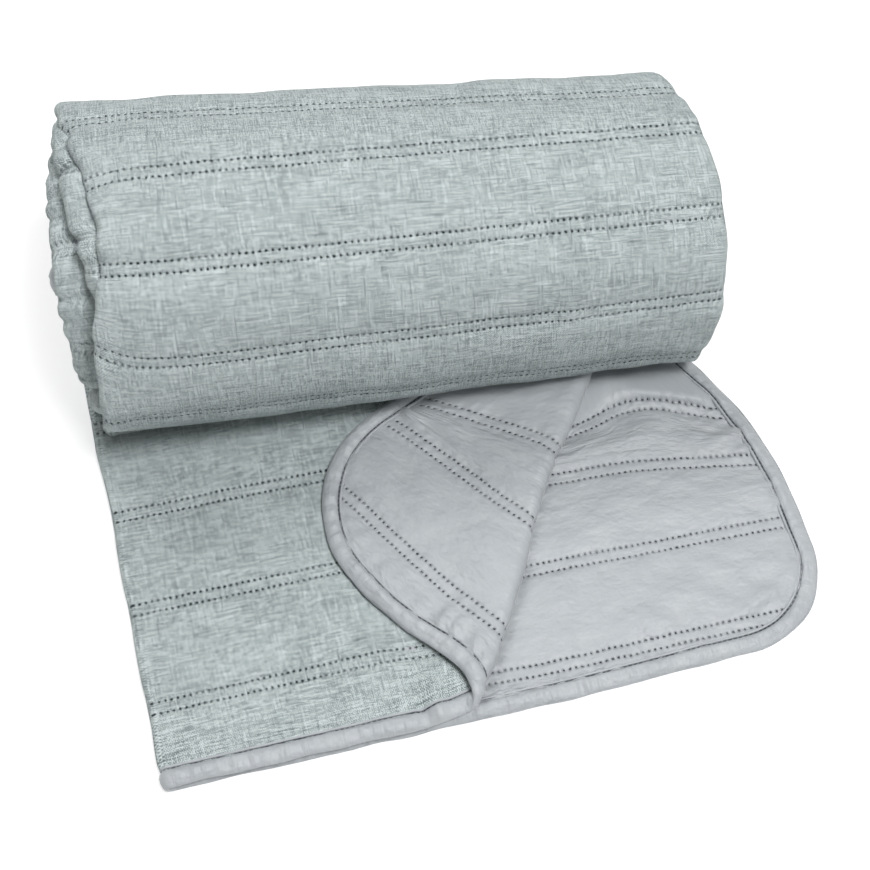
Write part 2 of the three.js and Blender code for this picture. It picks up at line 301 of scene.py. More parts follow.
# %% A material and its nodes
class Paint:
    """A material and its node tree."""

    def __init__(self, name):
        self.material = bpy.data.materials.new(name)
        self.material.use_nodes = True
        self.tree = self.material.node_tree
        self.shader = self.tree.nodes["Principled BSDF"]

    def node(self, kind, settings=None, inputs=None):
        """Add a node: its settings first, then a value or a link for each input given."""
        made = self.tree.nodes.new(kind)
        for key, setting in (settings or {}).items():
            setattr(made, key, setting)
        pairs = inputs.items() if isinstance(inputs, dict) else enumerate(inputs or [])
        for key, given in pairs:
            if isinstance(given, Value):
                self.tree.links.new(given.socket, made.inputs[key])
            else:
                made.inputs[key].default_value = given
        return [Value(self, socket) for socket in made.outputs]

    def surface_place(self):
        """The flat place on the cloth in millimetres: along the rows, and across them."""
        uv = self.node("ShaderNodeUVMap", {"uv_map": "cloth"})[0]
        axes = self.node("ShaderNodeSeparateXYZ", None, [uv])
        return axes[0] * (1 / MM), axes[1] * (1 / MM)

    def vector(self, x, y, z=0.0):
        return self.node("ShaderNodeCombineXYZ", None, [x, y, z])[0]

    def noise(self, vector, detail=2.0, rough=0.5):
        given = {"Vector": vector, "Scale": 1.0, "Detail": detail, "Roughness": rough}
        return self.node("ShaderNodeTexNoise", {"noise_dimensions": "3D"}, given)[0]

    def mix(self, factor, first, second):
        """A colour between two; sockets 6 and 7 are the Mix node's colours A and B."""
        return self.node("ShaderNodeMix", {"data_type": "RGBA"}, {0: factor, 6: first, 7: second})[2]

    def bump(self, height):
        """A height in metres made a normal, at its true depth."""
        given = {"Height": height, "Distance": 1.0, "Strength": 1.0}
        return self.node("ShaderNodeBump", None, given)[0]

    def finish(self, colour, roughness, normal, **constants):
        """Feed the shader, and hand the material over."""
        for key, given in (("Base Color", colour), ("Roughness", roughness), ("Normal", normal)):
            if isinstance(given, Value):
                self.tree.links.new(given.socket, self.shader.inputs[key])
            elif given is not None:
                self.shader.inputs[key].default_value = given
        for key, given in constants.items():
            self.shader.inputs[key.replace("_", " ")].default_value = given
        print("material", self.material.name, "with", len(self.tree.nodes), "nodes")
        return self.material


# %% Colours as they look on a screen
def tint(red, green, blue):
    """Red, green and blue from 0 to 255, made linear for the shader."""
    def linear(c):
        c = c / 255
        return c / 12.92 if c <= 0.04045 else ((c + 0.055) / 1.055) ** 2.4

    return (linear(red), linear(green), linear(blue), 1.0)


# %% [markdown]
# ## Stitch holes
# The rows show as dotted lines of dark holes, about 5 mm apart, where the needle drew the
# thread down. They could be modelled, but there are thousands of them. So they are worked out
# from the flat place on the cloth, and follow each row round the roll and over the folds. The
# dark of each hole is painted shade, and so is the slight darkening of the dimple round it.

# %% Stitch holes
ROW_WANDERS, HOLE_STRAYS, HOLE_SIZE_VARIES = 1.6, 1.6, 0.6


def stitch_holes(paint, along, across, radius):
    """Two masks, for the bump and for painted shade: the holes, 1 inside them, and the
    dimples round them. Both stray a little.
    """
    wander = paint.noise(paint.vector(along * 0.07, across * 0.02), detail=1.0)
    jitter = paint.noise(paint.vector(along * 0.9, across * 0.3, 4.0), detail=0.0)
    centred = (across + PITCH / 2 + (wander - 0.5) * ROW_WANDERS).floored_mod(PITCH) - PITCH / 2
    off_row = centred.absolute() - HALF_PAIR
    off_hole = (along + (jitter - 0.5) * HOLE_STRAYS).floored_mod(STITCH) - STITCH / 2
    away = (off_row * off_row + off_hole * off_hole).root()
    size = radius + (jitter - 0.5) * HOLE_SIZE_VARIES
    # How deep a hole is makes its painted shade uneven from hole to hole
    depth = paint.noise(paint.vector(along * 0.03, across * 0.05, 14.0))
    hole = (1 - (away / size).between(0.66, 1.2)) * (0.6 + depth.between(0.3, 0.6) * 0.4)
    dimple = 1 - away.between(0.4, 2.4)
    return hole, dimple


# %% [markdown]
# ## Face cloth
# The face is a melange: threads of light and dark grey green in both directions, with longer
# slubs that show as faint streaks. Two noises stretched along the two thread directions give
# the streaks, and each thread slips along its own length, so that no pattern repeats beside it.
# A fine noise gives the single threads, and the same heights feed the bump. A tiled picture of
# cloth would be quicker to make, but its repeats would show.

# %% Face cloth material
FACE_DARK = tint(97, 108, 109)
FACE_LIGHT = tint(199, 208, 208)
# Painted shade inside the stitch holes, used on all three cloths
HOLE_SHADE = tint(38, 48, 52)
THREAD_PAIR = 1.9
CLOTH_ROUGH = 0.9
FACE_HOLE_RADIUS = 1.08
# Heights for the bump, in metres
THREAD_RELIEF, FACE_DIMPLE, FACE_HOLE = 0.0004, 0.0005, 0.0007


def face_cloth(name, hole_shade_share):
    paint = Paint(name)
    along, across = paint.surface_place()
    weft_slip = paint.noise(paint.vector(0.4, across * 1.3, 33.4), detail=1.0) * 9
    warp_slip = paint.noise(paint.vector(along * 1.3, 0.6, 37.7), detail=1.0) * 9
    weft = paint.noise(paint.vector(along * 0.11 + weft_slip, across * 1.4, 0.4), rough=0.6)
    warp = paint.noise(paint.vector(along * 1.4, across * 0.12 + warp_slip, 7.6), rough=0.6)
    turn = 2 * math.pi / THREAD_PAIR
    weave = (along * turn).sine() * (across * turn).sine()
    slub = paint.noise(paint.vector(along * 0.035, across * 0.6, 21.0), detail=1.0)
    cloud = paint.noise(paint.vector(along * 0.02, across * 0.03, 9.0))
    thread = paint.noise(paint.vector(along * 0.8, across * 1.3, 3.3), detail=1.0, rough=0.7)
    # The last number sets the middle tone, and the others how much each layer counts
    tone = weft * 1.65 + warp * 1.45 + thread * 1.2 + cloud * 0.25 + weave * 0.3 - 1.76
    colour = paint.mix(tone.between(0.0, 1.0), FACE_DARK, FACE_LIGHT)
    colour = paint.mix(slub.between(0.60, 0.74) * 0.22, colour, FACE_DARK)
    hole, dimple = stitch_holes(paint, along, across, FACE_HOLE_RADIUS)
    # Painted shade: the dimple round each hole a little darker, and the hole itself dark
    colour = paint.mix(dimple * 0.18, colour, FACE_DARK)
    colour = paint.mix(hole * hole_shade_share, colour, HOLE_SHADE)
    height = (weft + warp + thread) * THREAD_RELIEF - dimple * FACE_DIMPLE - hole * FACE_HOLE
    return paint.finish(colour, CLOTH_ROUGH, paint.bump(height))


FACE_CLOTH = face_cloth("face_cloth", hole_shade_share=1.0)
# On the wound turns the painted shade of the holes is fainter
FOLDED_FACE_CLOTH = face_cloth("folded_face_cloth", hole_shade_share=0.3)

# %% [markdown]
# ## Reverse cloth and binding
# The reverse and the binding tape are one smooth microfibre, silver grey with a soft sheen.
# What one sees is mostly its folds, so the material stays quiet: a very fine weave, faint
# clouds, and the stitch holes. It could have the brushed sheen of a true satin, but the
# photograph shows only a soft one. The tape has a line of machine stitches near its inner edge.

# %% Reverse cloth material
SILVER = tint(165, 169, 172)
SILVER_SHADE = tint(145, 150, 155)
SILVER_ROUGH = 0.5
SILVER_SHEEN = {"Sheen_Weight": 0.2, "Sheen_Roughness": 0.4}
REVERSE_HOLE_RADIUS = 0.95
# Heights for the bump, in metres
GRAIN_RELIEF, CRUMPLE_RELIEF, CLOUD_RELIEF = 0.00004, 0.0011, 0.005
REVERSE_DIMPLE, REVERSE_HOLE = 0.0007, 0.0006


def smooth_silver(paint, along, across):
    """Colour and height of the plain cloth, before holes or seams are put in."""
    cloud = paint.noise(paint.vector(along * 0.03, across * 0.05, 2.0), detail=3.0)
    grain = paint.noise(paint.vector(along * 2.1, across * 2.1, 5.0), rough=0.7)
    colour = paint.mix(cloud.between(0.2, 0.8) * 0.4 + grain * 0.2, SILVER, SILVER_SHADE)
    crumple = paint.noise(paint.vector(along * 0.12, across * 0.2, 6.0), detail=3.0)
    return colour, grain * GRAIN_RELIEF + crumple * CRUMPLE_RELIEF + cloud * CLOUD_RELIEF


def reverse_cloth():
    paint = Paint("reverse_cloth")
    along, across = paint.surface_place()
    colour, height = smooth_silver(paint, along, across)
    hole, dimple = stitch_holes(paint, along, across, REVERSE_HOLE_RADIUS)
    # Painted shade: the dimple round each hole a little darker, and the hole itself dark
    colour = paint.mix(dimple * 0.3, colour, SILVER_SHADE)
    colour = paint.mix(hole, colour, HOLE_SHADE)
    height = height - dimple * REVERSE_DIMPLE - hole * REVERSE_HOLE
    return paint.finish(colour, SILVER_ROUGH, paint.bump(height), **SILVER_SHEEN)


REVERSE_CLOTH = reverse_cloth()

# %% Binding material
# Painted shade of the groove along the tape's stitch line
SEAM_SHADE = tint(66, 72, 80)
TAPE_STITCH_AT = 4.7
TAPE_STITCH = 4.4
TAPE_PUCKER, TAPE_GROOVE = 0.0012, 0.0005


def binding_tape():
    """Its UV map runs along the tape and across it, from one inner edge round to the other."""
    paint = Paint("binding_tape")
    along, across = paint.surface_place()
    colour, height = smooth_silver(paint, along, across)
    pucker = paint.noise(paint.vector(along * 0.28, across * 0.05, 8.0))
    off_line = (across - TAPE_STITCH_AT).absolute()
    off_stitch = along.floored_mod(TAPE_STITCH) - TAPE_STITCH / 2
    nick = (1 - off_line.between(0.5, 1.3)) * (1 - off_stitch.absolute().between(1.0, 1.7))
    groove = 1 - off_line.between(0.4, 1.6)
    # Painted shade: the groove along the stitch line darker, more so in some stretches, and its
    # stitch holes dark
    uneven_shade = paint.noise(paint.vector(along * 0.02, 0.0, 15.0), detail=1.0).between(0.35, 0.6)
    colour = paint.mix(groove * (0.45 + uneven_shade * 0.45), colour, SEAM_SHADE)
    colour = paint.mix(nick * (0.7 + uneven_shade * 0.3), colour, HOLE_SHADE)
    height = height + pucker * TAPE_PUCKER - groove * TAPE_GROOVE
    return paint.finish(colour, SILVER_ROUGH, paint.bump(height), **SILVER_SHEEN)


BINDING_TAPE = binding_tape()

# %% [markdown]
# ## The loose end in the flat
# A place on the loose end is a pair: a, across the folded cloth, and v, towards the front where
# it is negative. Below zero a runs over the lower layer, above zero over the top layer. The top
# layer's corner turns back over a slanting line, and a half circle carries it round. Three
# separate sheets would be easier to place, but here rows and weave go on over the folds.

# %% The line that the corner turns back over
flap_along = (FLAP_LINE_FRONT - FLAP_LINE_BACK) / np.linalg.norm(FLAP_LINE_FRONT - FLAP_LINE_BACK)
flap_across = np.array([-flap_along[1], flap_along[0]])
FLAP_ENDS_NEAR_V = -38


def flap_line_u(v):
    """How far the slanting line is from the left fold, at v."""
    return FLAP_LINE_BACK[0] + (v - FLAP_LINE_BACK[1]) * flap_along[0] / flap_along[1]


def back_v(u, y):
    """v of a place that lies at y in the model's frame."""
    return (y - SHEET_ORIGIN[1] - u * math.sin(SHEET_YAW)) / math.cos(SHEET_YAW)


FLAP_START_V = back_v(flap_line_u(FLAP_ENDS_NEAR_V), FLAP_BACK_Y)


def flap_end_u(v):
    """The turned-back cloth ends under the roll: that line, mirrored into the flat cloth."""
    way = np.array([-math.cos(SHEET_YAW), math.sin(SHEET_YAW)])
    mirrored = way - 2 * np.dot(way, flap_across) * flap_across
    return flap_line_u(FLAP_START_V) + (v - FLAP_START_V) * mirrored[0] / mirrored[1]


print("the turned-back corner ends at v", round(float(FLAP_START_V), 1))

# %% Edges of the loose end
SOFTEN_OVER = (-22, -11, 0, 11, 22)
FRONT_LOWER = [(0, -328), (340, -328), (470, -324), (557, -324)]
FRONT_TOP = [
    (0, -328), (226, -328), (262, -316), (290, -316), (321, -320), (361, -330), (400, -331),
]
LOWER_BOW_FROM, LOWER_BOW_OVER = -200, 153


def through(points, at):
    """A soft line through a few points: straight pieces, averaged over a short stretch."""
    us, vs = zip(*points)
    return sum(np.interp(at + o, us, vs) for o in SOFTEN_OVER) / len(SOFTEN_OVER)


def front_v(a):
    """The front rim is drawn in at the fold, bows out on the corner and in on the lower layer."""
    return np.where(a < 0, through(FRONT_LOWER, -a), through(FRONT_TOP, a))


def corner(v, radius, front):
    """How far a rounded corner sets the side in, at v."""
    down = np.clip((front + radius - v) / radius, 0, 1)
    return radius * (1 - np.sqrt(np.maximum(0, 1 - down ** 2)))


def lower_edge(v, inset):
    bow = LOWER_EDGE_BOW * np.minimum(1, np.maximum(0, (v - LOWER_BOW_FROM) / LOWER_BOW_OVER) ** 2)
    front = front_v(-LOWER_WIDTH) + inset
    return LOWER_WIDTH - bow - inset - corner(v, LOWER_CORNER - inset, front)


def top_edge(v, inset):
    bound = TOP_WIDTH - inset - corner(v, TOP_CORNER - inset, front_v(TOP_WIDTH) + inset)
    return np.where(v >= FLAP_START_V, flap_line_u(v), np.minimum(bound, flap_end_u(v)))


print("corner of the top layer, mm in", round(float(TOP_WIDTH - top_edge(FRONT_V, 0)), 1))

# %% Stitched rows of the loose end
# Each channel's middle, as places (distance from the left fold, v) on both layers
SHEET_CHANNELS = [
    {"lower": [(0, 2), (200, -60), (320, -97), (395, -94), (454, -76), (514, -103), (557, -118)],
     "top": [(0, 2), (250, 0), (420, -10), (527, -60)]},
    {"lower": [(0, -88), (250, -128), (371, -135), (434, -137), (530, -155), (557, -160)],
     "top": [(0, -88), (175, -89), (280, -99), (385, -118), (471, -163), (527, -200)]},
    {"lower": [(0, -176), (200, -208), (324, -213), (540, -219), (557, -219)],
     "top": [(0, -176), (220, -177), (340, -181), (495, -213), (527, -220)]},
    {"lower": [(0, -263), (200, -292), (300, -299.5), (557, -299.5)],
     "top": [(0, -263), (190, -262), (285, -271), (465, -286), (527, -296)]},
]
INSET = BINDING_WIDTH - 1.0


def channel_v(row, a):
    return np.where(a < 0, through(row["lower"], -a), through(row["top"], a))


def line_v(w, a):
    """v of a grid line at places across the cloth."""
    a = np.asarray(a, float)
    centres = [-channel_v(row, a) for row in SHEET_CHANNELS]
    back = centres[0] + back_v(np.abs(a), SHEET_BACK_Y)
    front = -(front_v(a) + INSET) - centres[-1]
    return -place_of_row(w, centres, back, front)


print("channels on the loose end", len(SHEET_CHANNELS))

# %% [markdown]
# ## Creases given one by one
# A cloth that has been folded and handled has soft creases of its own. They could be sculpted
# with a brush, but a list can be read, moved and measured against the photograph. Each crease
# is a line in the loose end's frame with a width and a height, and below zero it is a trough.

# %% Creases of the lower layer
LOWER_CREASES = [
    {"start": (538, -262), "end": (478, -292), "width": 6, "height": 2.4},
    {"start": (540, -240), "end": (486, -262), "width": 6, "height": 1.8},
    {"start": (505, -300), "end": (460, -255), "width": 7, "height": -1.4},
    {"start": (540, -150), "end": (470, -110), "width": 10, "height": 2.0},
    {"start": (520, -92), "end": (430, -60), "width": 14, "height": 7.0},
    {"start": (395, -118), "end": (470, -106), "width": 10, "height": 3.0},
    {"start": (430, -104), "end": (392, -72), "width": 9, "height": -1.6},
    {"start": (545, -125), "end": (500, -140), "width": 7, "height": 2.2},
    {"start": (548, -180), "end": (505, -190), "width": 6, "height": 1.8},
    {"start": (400, -180), "end": (330, -250), "width": 16, "height": 1.8},
    {"start": (440, -316), "end": (400, -262), "width": 9, "height": 1.6},
    {"start": (500, -205), "end": (430, -178), "width": 13, "height": 1.6},
    {"start": (460, -270), "end": (360, -240), "width": 12, "height": 1.2},
]
print("creases of the lower layer", len(LOWER_CREASES))

# %% Creases of the top layer
TOP_CREASES = [
    {"start": (206, -290), "end": (211, -326), "width": 3.0, "height": -4.5},
    {"start": (218, -282), "end": (224, -326), "width": 7, "height": 4.6},
    {"start": (180, -205), "end": (218, -268), "width": 8, "height": -2.2},
    {"start": (158, -208), "end": (192, -262), "width": 9, "height": 2.6},
    {"start": (160, -300), "end": (190, -324), "width": 8, "height": 1.2},
    {"start": (60, -130), "end": (120, -60), "width": 12, "height": 1.4},
    {"start": (40, -230), "end": (20, -180), "width": 10, "height": 1.0},
    {"start": (90, -120), "end": (150, -150), "width": 12, "height": 1.0},
]
print("creases of the top layer", len(TOP_CREASES))

# %% Creases of the turned-back corner
FLAP_CREASES = [
    {"start": (190, -90), "end": (240, -105), "width": 7, "height": 1.8},
    {"start": (188, -176), "end": (204, -224), "width": 5, "height": 2.0},
    {"start": (206, -196), "end": (226, -246), "width": 6, "height": 1.8},
    {"start": (200, -200), "end": (250, -190), "width": 8, "height": 1.5},
    {"start": (222, -240), "end": (262, -225), "width": 5, "height": -1.8},
    {"start": (245, -60), "end": (270, -95), "width": 8, "height": 1.6},
    {"start": (300, -240), "end": (335, -170), "width": 10, "height": -1.6},
    {"start": (355, -150), "end": (390, -85), "width": 9, "height": 2.4},
    {"start": (262, -300), "end": (280, -255), "width": 5, "height": 2.2},
]
print("creases of the turned-back corner", len(FLAP_CREASES))

# %% Height of the creases
CREASE_FULL_TO, CREASE_TAPER = 0.30, 0.28


def crease_height(creases, u, v):
    """The height of a list of creases, each full along its middle and tapered to its ends."""
    total = np.zeros_like(u)
    for crease in creases:
        start, end = np.array(crease["start"], float), np.array(crease["end"], float)
        way = end - start
        length = np.linalg.norm(way)
        t = ((u - start[0]) * way[0] + (v - start[1]) * way[1]) / length ** 2
        off = ((u - start[0]) * -way[1] + (v - start[1]) * way[0]) / length
        from_middle = np.maximum(0, np.abs(t - 0.5) - CREASE_FULL_TO)
        taper = np.exp(-(from_middle / CREASE_TAPER) ** 2)
        total += crease["height"] * taper * np.exp(-(off / crease["width"]) ** 2)
    return total


# %% [markdown]
# ## From the flat to the folded cloth
# On the real thing, hands fold the cloth at the left, turn its corner back and press both down.
# Bend modifiers could fold it one after another, but each of them would move the whole cloth.
# So one function carries any flat place, with a height above the cloth's middle, to where it
# lies. Face, reverse and tape all pass through it, and that keeps them together.

# %% Draping a point of the loose end
LEFT_FOLD_BOW, LEFT_BOW_REACH = 9.5, 240
FOLD_SWAY, SWAY_LENGTH, SWAY_REACH = 5.5, 36, 55
SWAYS_OUT_V, SWAYS_IN_V = -272, -145
CREASES_FROM, CREASES_OVER = 6, 40
FLAP_CREASES_OVER = 25
LOWER_TROUGH, TOP_TROUGH, FLAP_TROUGH = -1.6, -2.6, -1.4


def past_flap_line(a, v):
    """How far a flat place lies beyond the line that the corner turns back over."""
    return (a - FLAP_LINE_BACK[0]) * flap_across[0] + (v - FLAP_LINE_BACK[1]) * flap_across[1]


def drape(a, v, lift):
    """Points in the model's frame, from flat places and heights above the cloth's middle."""
    a, v, lift = np.broadcast_arrays(np.asarray(a, float), v, lift)
    r = LEFT_FOLD_RADIUS

    # A half circle at the left carries the cloth from the lower layer to the top one
    turn = np.clip(a / r, -1, 1) * math.pi / 2
    in_fold = np.abs(a) <= r
    u = np.where(in_fold, r - (r + lift) * np.cos(turn), np.abs(a))
    z = CLOTH_HALF + r + (r + lift) * np.sin(turn)
    z = np.where(a < -r, CLOTH_HALF - lift, z)

    # The lower layer is creased on its upper side, away from the fold
    off_fold = smooth((np.abs(a) - CREASES_FROM) / CREASES_OVER)
    upper_side = np.clip(-lift / 2, 0, 1)
    low = np.maximum(LOWER_TROUGH, crease_height(LOWER_CREASES, u, v)) * upper_side
    z = z + np.where(a < -r, off_fold * low, 0)

    # Past its line, the top layer's corner bends over and settles on the cloth below
    past = past_flap_line(a, v)
    bend = np.clip(past / FLAP_RADIUS, 0, math.pi)
    beyond = np.maximum(0, past - math.pi * FLAP_RADIUS)
    settle = (2 * FLAP_RADIUS - FLAP_LAYER_RISE) * smooth(beyond / FLAP_SETTLES_OVER)
    shift = (FLAP_RADIUS - lift) * np.sin(bend) - beyond - past
    turned = (a > r) & (past > 0)
    z_top = SHEET_TOP_MID + lift
    z_flap = SHEET_TOP_MID + FLAP_RADIUS - (FLAP_RADIUS - lift) * np.cos(bend) - settle
    v_out = np.where(turned, v + flap_across[1] * shift, v)
    u_out = np.where(turned, a + flap_across[0] * shift, u)
    z = np.where(a > r, np.where(turned, z_flap, z_top), z)

    # The top layer and the turned-back corner have creases of their own
    on_top = off_fold * np.maximum(TOP_TROUGH, crease_height(TOP_CREASES, u_out, v_out))
    z = z + np.where(a > r, on_top * np.clip((lift + 1) / 2, 0, 1), 0)
    over = smooth(beyond / FLAP_CREASES_OVER)
    on_flap = over * np.maximum(FLAP_TROUGH, crease_height(FLAP_CREASES, u_out, v_out))
    z = z + np.where(turned, on_flap, 0)

    # Neither fold is quite straight: the slanting one sways, and the left one bows
    sway = np.exp(-((v_out - SWAYS_OUT_V) / SWAY_LENGTH) ** 2)
    sway = FOLD_SWAY * (sway - np.exp(-((v_out - SWAYS_IN_V) / SWAY_LENGTH) ** 2))
    near_line = np.exp(-((u_out - flap_line_u(v_out)) / SWAY_REACH) ** 2)
    u_out = u_out + np.where(a > r, sway * near_line, 0)
    side = 1 - smooth(u_out / LEFT_BOW_REACH)
    bow = 0.4 * smooth(-v_out / 70) + 0.6 * (v_out / FRONT_V) ** 2
    u_out = u_out + side * LEFT_FOLD_BOW * bow

    # Turned into the model's frame, and never below the floor
    c, s = math.cos(SHEET_YAW), math.sin(SHEET_YAW)
    x = SHEET_ORIGIN[0] + u_out * c - v_out * s
    y = SHEET_ORIGIN[1] + u_out * s + v_out * c
    return np.stack([x, y, np.maximum(z, 0.0)], axis=-1)


middle_of_top = drape(TOP_WIDTH / 4, FRONT_V / 2, CLOTH_HALF)
print("a point on the top layer, mm", [round(float(c), 1) for c in middle_of_top])

# %% [markdown]
# ## The rim of the flat cloth
# The binding follows the rim, and the cloth beside it is drawn in and puckered. So the rim is
# walked once in the flat, from the back of the lower layer round to the turned-back corner. The
# last points of the cloth's grid could serve too, but they are too uneven for a stitched tape.

# %% Steps round the rim
RIM_STEP, ROUND_FOLD_STEP, ROUND_BEND_STEP = 2.6, 1.0, 1.4


def corner_steps(width, radius, front, side, turns):
    """Steps round a rounded corner of the lower layer, side -1, or of the top layer, side 1."""
    reach = radius - BINDING_WIDTH
    steps = []
    for t in turns:
        a = side * (width - radius + reach * math.cos(t))
        v = front + radius - reach * math.sin(t)
        steps.append((a, v, side * math.cos(t), -math.sin(t)))
    return steps


def rim_steps():
    """Flat places on the panel's rim, each with the way out of it."""
    inset = BINDING_WIDTH
    lower_back = back_v(LOWER_WIDTH, SHEET_BACK_Y)
    low_front, top_front = float(front_v(-LOWER_WIDTH)), float(front_v(TOP_WIDTH))

    # Down the side of the lower layer, and round its corner
    side = np.arange(lower_back, low_front + LOWER_CORNER, -RIM_STEP)
    steps = [(-float(lower_edge(v, inset)), v, -1.0, 0.0) for v in side]
    count = int(LOWER_CORNER * math.pi / 2 / RIM_STEP)
    turns = [i / count * math.pi / 2 for i in range(count + 1)]
    steps += corner_steps(LOWER_WIDTH, LOWER_CORNER, low_front, -1, turns)

    # Along the front: lower layer, left fold, top layer, bend and turned-back corner
    r = LEFT_FOLD_RADIUS
    fold = float(flap_line_u(FRONT_V + inset))
    bend = fold + math.pi * FLAP_RADIUS / flap_across[0]
    spans = [
        (-(LOWER_WIDTH - LOWER_CORNER), -r, RIM_STEP), (-r, r, ROUND_FOLD_STEP),
        (r, fold, RIM_STEP), (fold, bend, ROUND_BEND_STEP),
        (bend, TOP_WIDTH - TOP_CORNER, RIM_STEP),
    ]
    for a, b, size in spans:
        count = max(2, int((b - a) / size))
        for x in np.linspace(a, b, count + 1)[1:]:
            slope = float(front_v(x + 1) - front_v(x - 1)) / 2
            steps.append((x, float(front_v(x)) + inset, slope, -1.0))

    # Round the top layer's corner, and up its side
    count = int(TOP_CORNER * math.pi / 2 / RIM_STEP)
    turns = [(1 - i / count) * math.pi / 2 for i in range(1, count + 1)]
    steps += corner_steps(TOP_WIDTH, TOP_CORNER, top_front, 1, turns)
    v = top_front + TOP_CORNER
    while TOP_WIDTH - inset < flap_end_u(v) - 1:
        steps.append((TOP_WIDTH - inset, v, 1.0, 0.0))
        v += RIM_STEP
    return np.array(steps)


rim = rim_steps()
rim_run = np.concatenate([[0], np.cumsum(np.hypot(np.diff(rim[:, 0]), np.diff(rim[:, 1])))])
print("rim of the cloth, mm", round(float(rim_run[-1])), "in", len(rim), "steps")


# %% Places beside the rim
def nearest_rim(a, v):
    """For each flat place, how far the rim is and how far round it the nearest point lies."""
    away, where = np.empty(a.shape), np.empty(a.shape)
    for i in range(a.shape[0]):
        d = np.hypot(a[i][:, None] - rim[None, :, 0], v[i][:, None] - rim[None, :, 1])
        nearest = d.argmin(axis=1)
        away[i] = d[np.arange(len(nearest)), nearest]
        where[i] = rim_run[nearest]
    return away, where


def round_rim(run, seed, size):
    """A ripple that changes only with the way round the rim."""
    return ripple(run, 0 * run, seed, size)


# %% [markdown]
# ## Face and reverse of the loose end
# Face and reverse are two thin cloths with wadding between them, drawn together at the stitched
# rows. Both use one grid, so they meet at the rows and part between them. One thick sheet would
# be simpler, but its two sides couldn't puff apart. On the lower layer the face lies flat
# against the floor, and the reverse is what shows.

# %% Grid of the loose end
FIRST_GUESS, TRIES, EASE = 300.0, 60, 0.6
ACROSS_COUNTS = [170, 8, 118, 9, 76]
LAST_CHANNEL = (len(SHEET_CHANNELS) - 1) * PITCH


def across_places(w, counts):
    """Places across one line: lower layer, left fold, top layer, bend and turned-back corner."""
    r = LEFT_FOLD_RADIUS
    lower, top, fold = FIRST_GUESS, FIRST_GUESS, FIRST_GUESS
    for _ in range(TRIES):
        lower = float(lower_edge(line_v(w, -lower), INSET))
        top = lerp(top, float(top_edge(line_v(w, top), INSET)), EASE)
        fold = lerp(fold, float(flap_line_u(line_v(w, fold))), EASE)
    top = max(top, fold)
    bend = min(fold + math.pi * FLAP_RADIUS / flap_across[0], top)
    spans = [(-lower, -r), (-r, r), (r, fold), (fold, bend), (bend, top)]
    places = [np.linspace(a, b, n, endpoint=False) for (a, b), n in zip(spans, counts)]
    return np.concatenate(places + [[top]])


sheet_w = [w for w in row_lines(len(SHEET_CHANNELS)) if -15 < w < LAST_CHANNEL + 9]
sheet_w = [-PITCH / 2, -31, -20] + sheet_w
sheet_w += [LAST_CHANNEL + o for o in (12, 15, 19, 23, 27, 31, 34, 36, PITCH / 2)]
grid_a = np.array([across_places(w, ACROSS_COUNTS) for w in sheet_w])
grid_v = np.array([line_v(w, a) for w, a in zip(sheet_w, grid_a)])
grid_w = np.repeat(np.array(sheet_w)[:, None], grid_a.shape[1], axis=1)
print("loose end grid", grid_a.shape)

# %% [markdown]
# ## Relief of the loose end
# Wadding swells the cloth between its rows, the thread draws small puckers in beside them, and
# the tape gathers the cloth along the rim. A displacement texture could do this, but arrays on
# the grid can be measured, and each side can take its own share. The reverse is the softer
# cloth, so it swells less evenly, puckers more and has folds of its own.

# %% Waves beside the rim
EDGE_WAVE, EDGE_SWAY = 17, 2.6
EDGE_REACH, EDGE_REACH_VARIES = 21, 7
EDGE_DIP, EDGE_DIP_REACH = 0.55, 6
rim_away, rim_where = nearest_rim(grid_a, grid_v)
sway = EDGE_SWAY * ripple(rim_where, rim_away * 0.3, 61, 60)
edge_wave = np.sin(rim_where * 2 * math.pi / EDGE_WAVE + sway)
edge_wave = edge_wave * np.clip(0.7 + 0.9 * round_rim(rim_where, 62, 140), 0.15, 1.6)
pucker_reach = EDGE_REACH + EDGE_REACH_VARIES * round_rim(rim_where, 63, 40)
share = puff_share(grid_w)
edge_pucker = edge_wave * np.exp(-(rim_away / pucker_reach) ** 1.5) * smooth(rim_away / 4)
edge_pucker = edge_pucker * (0.3 + 0.7 * share)
edge_dip = 1 - EDGE_DIP * np.exp(-(rim_away / EDGE_DIP_REACH) ** 2)
print("highest wave beside the rim", round(float(np.abs(edge_pucker).max()), 2))

# %% Heights of face and reverse
FACE_THIN, FACE_FULL = 1.0, 2.7
FACE_PUCKER, FACE_EDGE = 0.28, 0.5
REVERSE_PUCKER, REVERSE_EDGE, REVERSE_FOLDS = 0.55, 2.3, 2.2
HIDDEN_LIFT = 2.6
uneven = ripple(grid_a, grid_v, 3, 60)
broad = ripple(grid_a, grid_v, 5, 150)
on_flap = past_flap_line(grid_a, grid_v) > 0

face_lift = FACE_THIN + FACE_FULL * share * (0.86 + 0.10 * uneven + 0.10 * broad)
face_lift = face_lift + FACE_PUCKER * stitch_pucker(grid_a, grid_w, 11) * (0.4 + share)
face_lift = face_lift * edge_dip + FACE_EDGE * edge_pucker
face_lift = np.where(on_flap, np.minimum(face_lift, HIDDEN_LIFT), face_lift)
face_lift = np.where(grid_a < 0, CLOTH_HALF, face_lift)

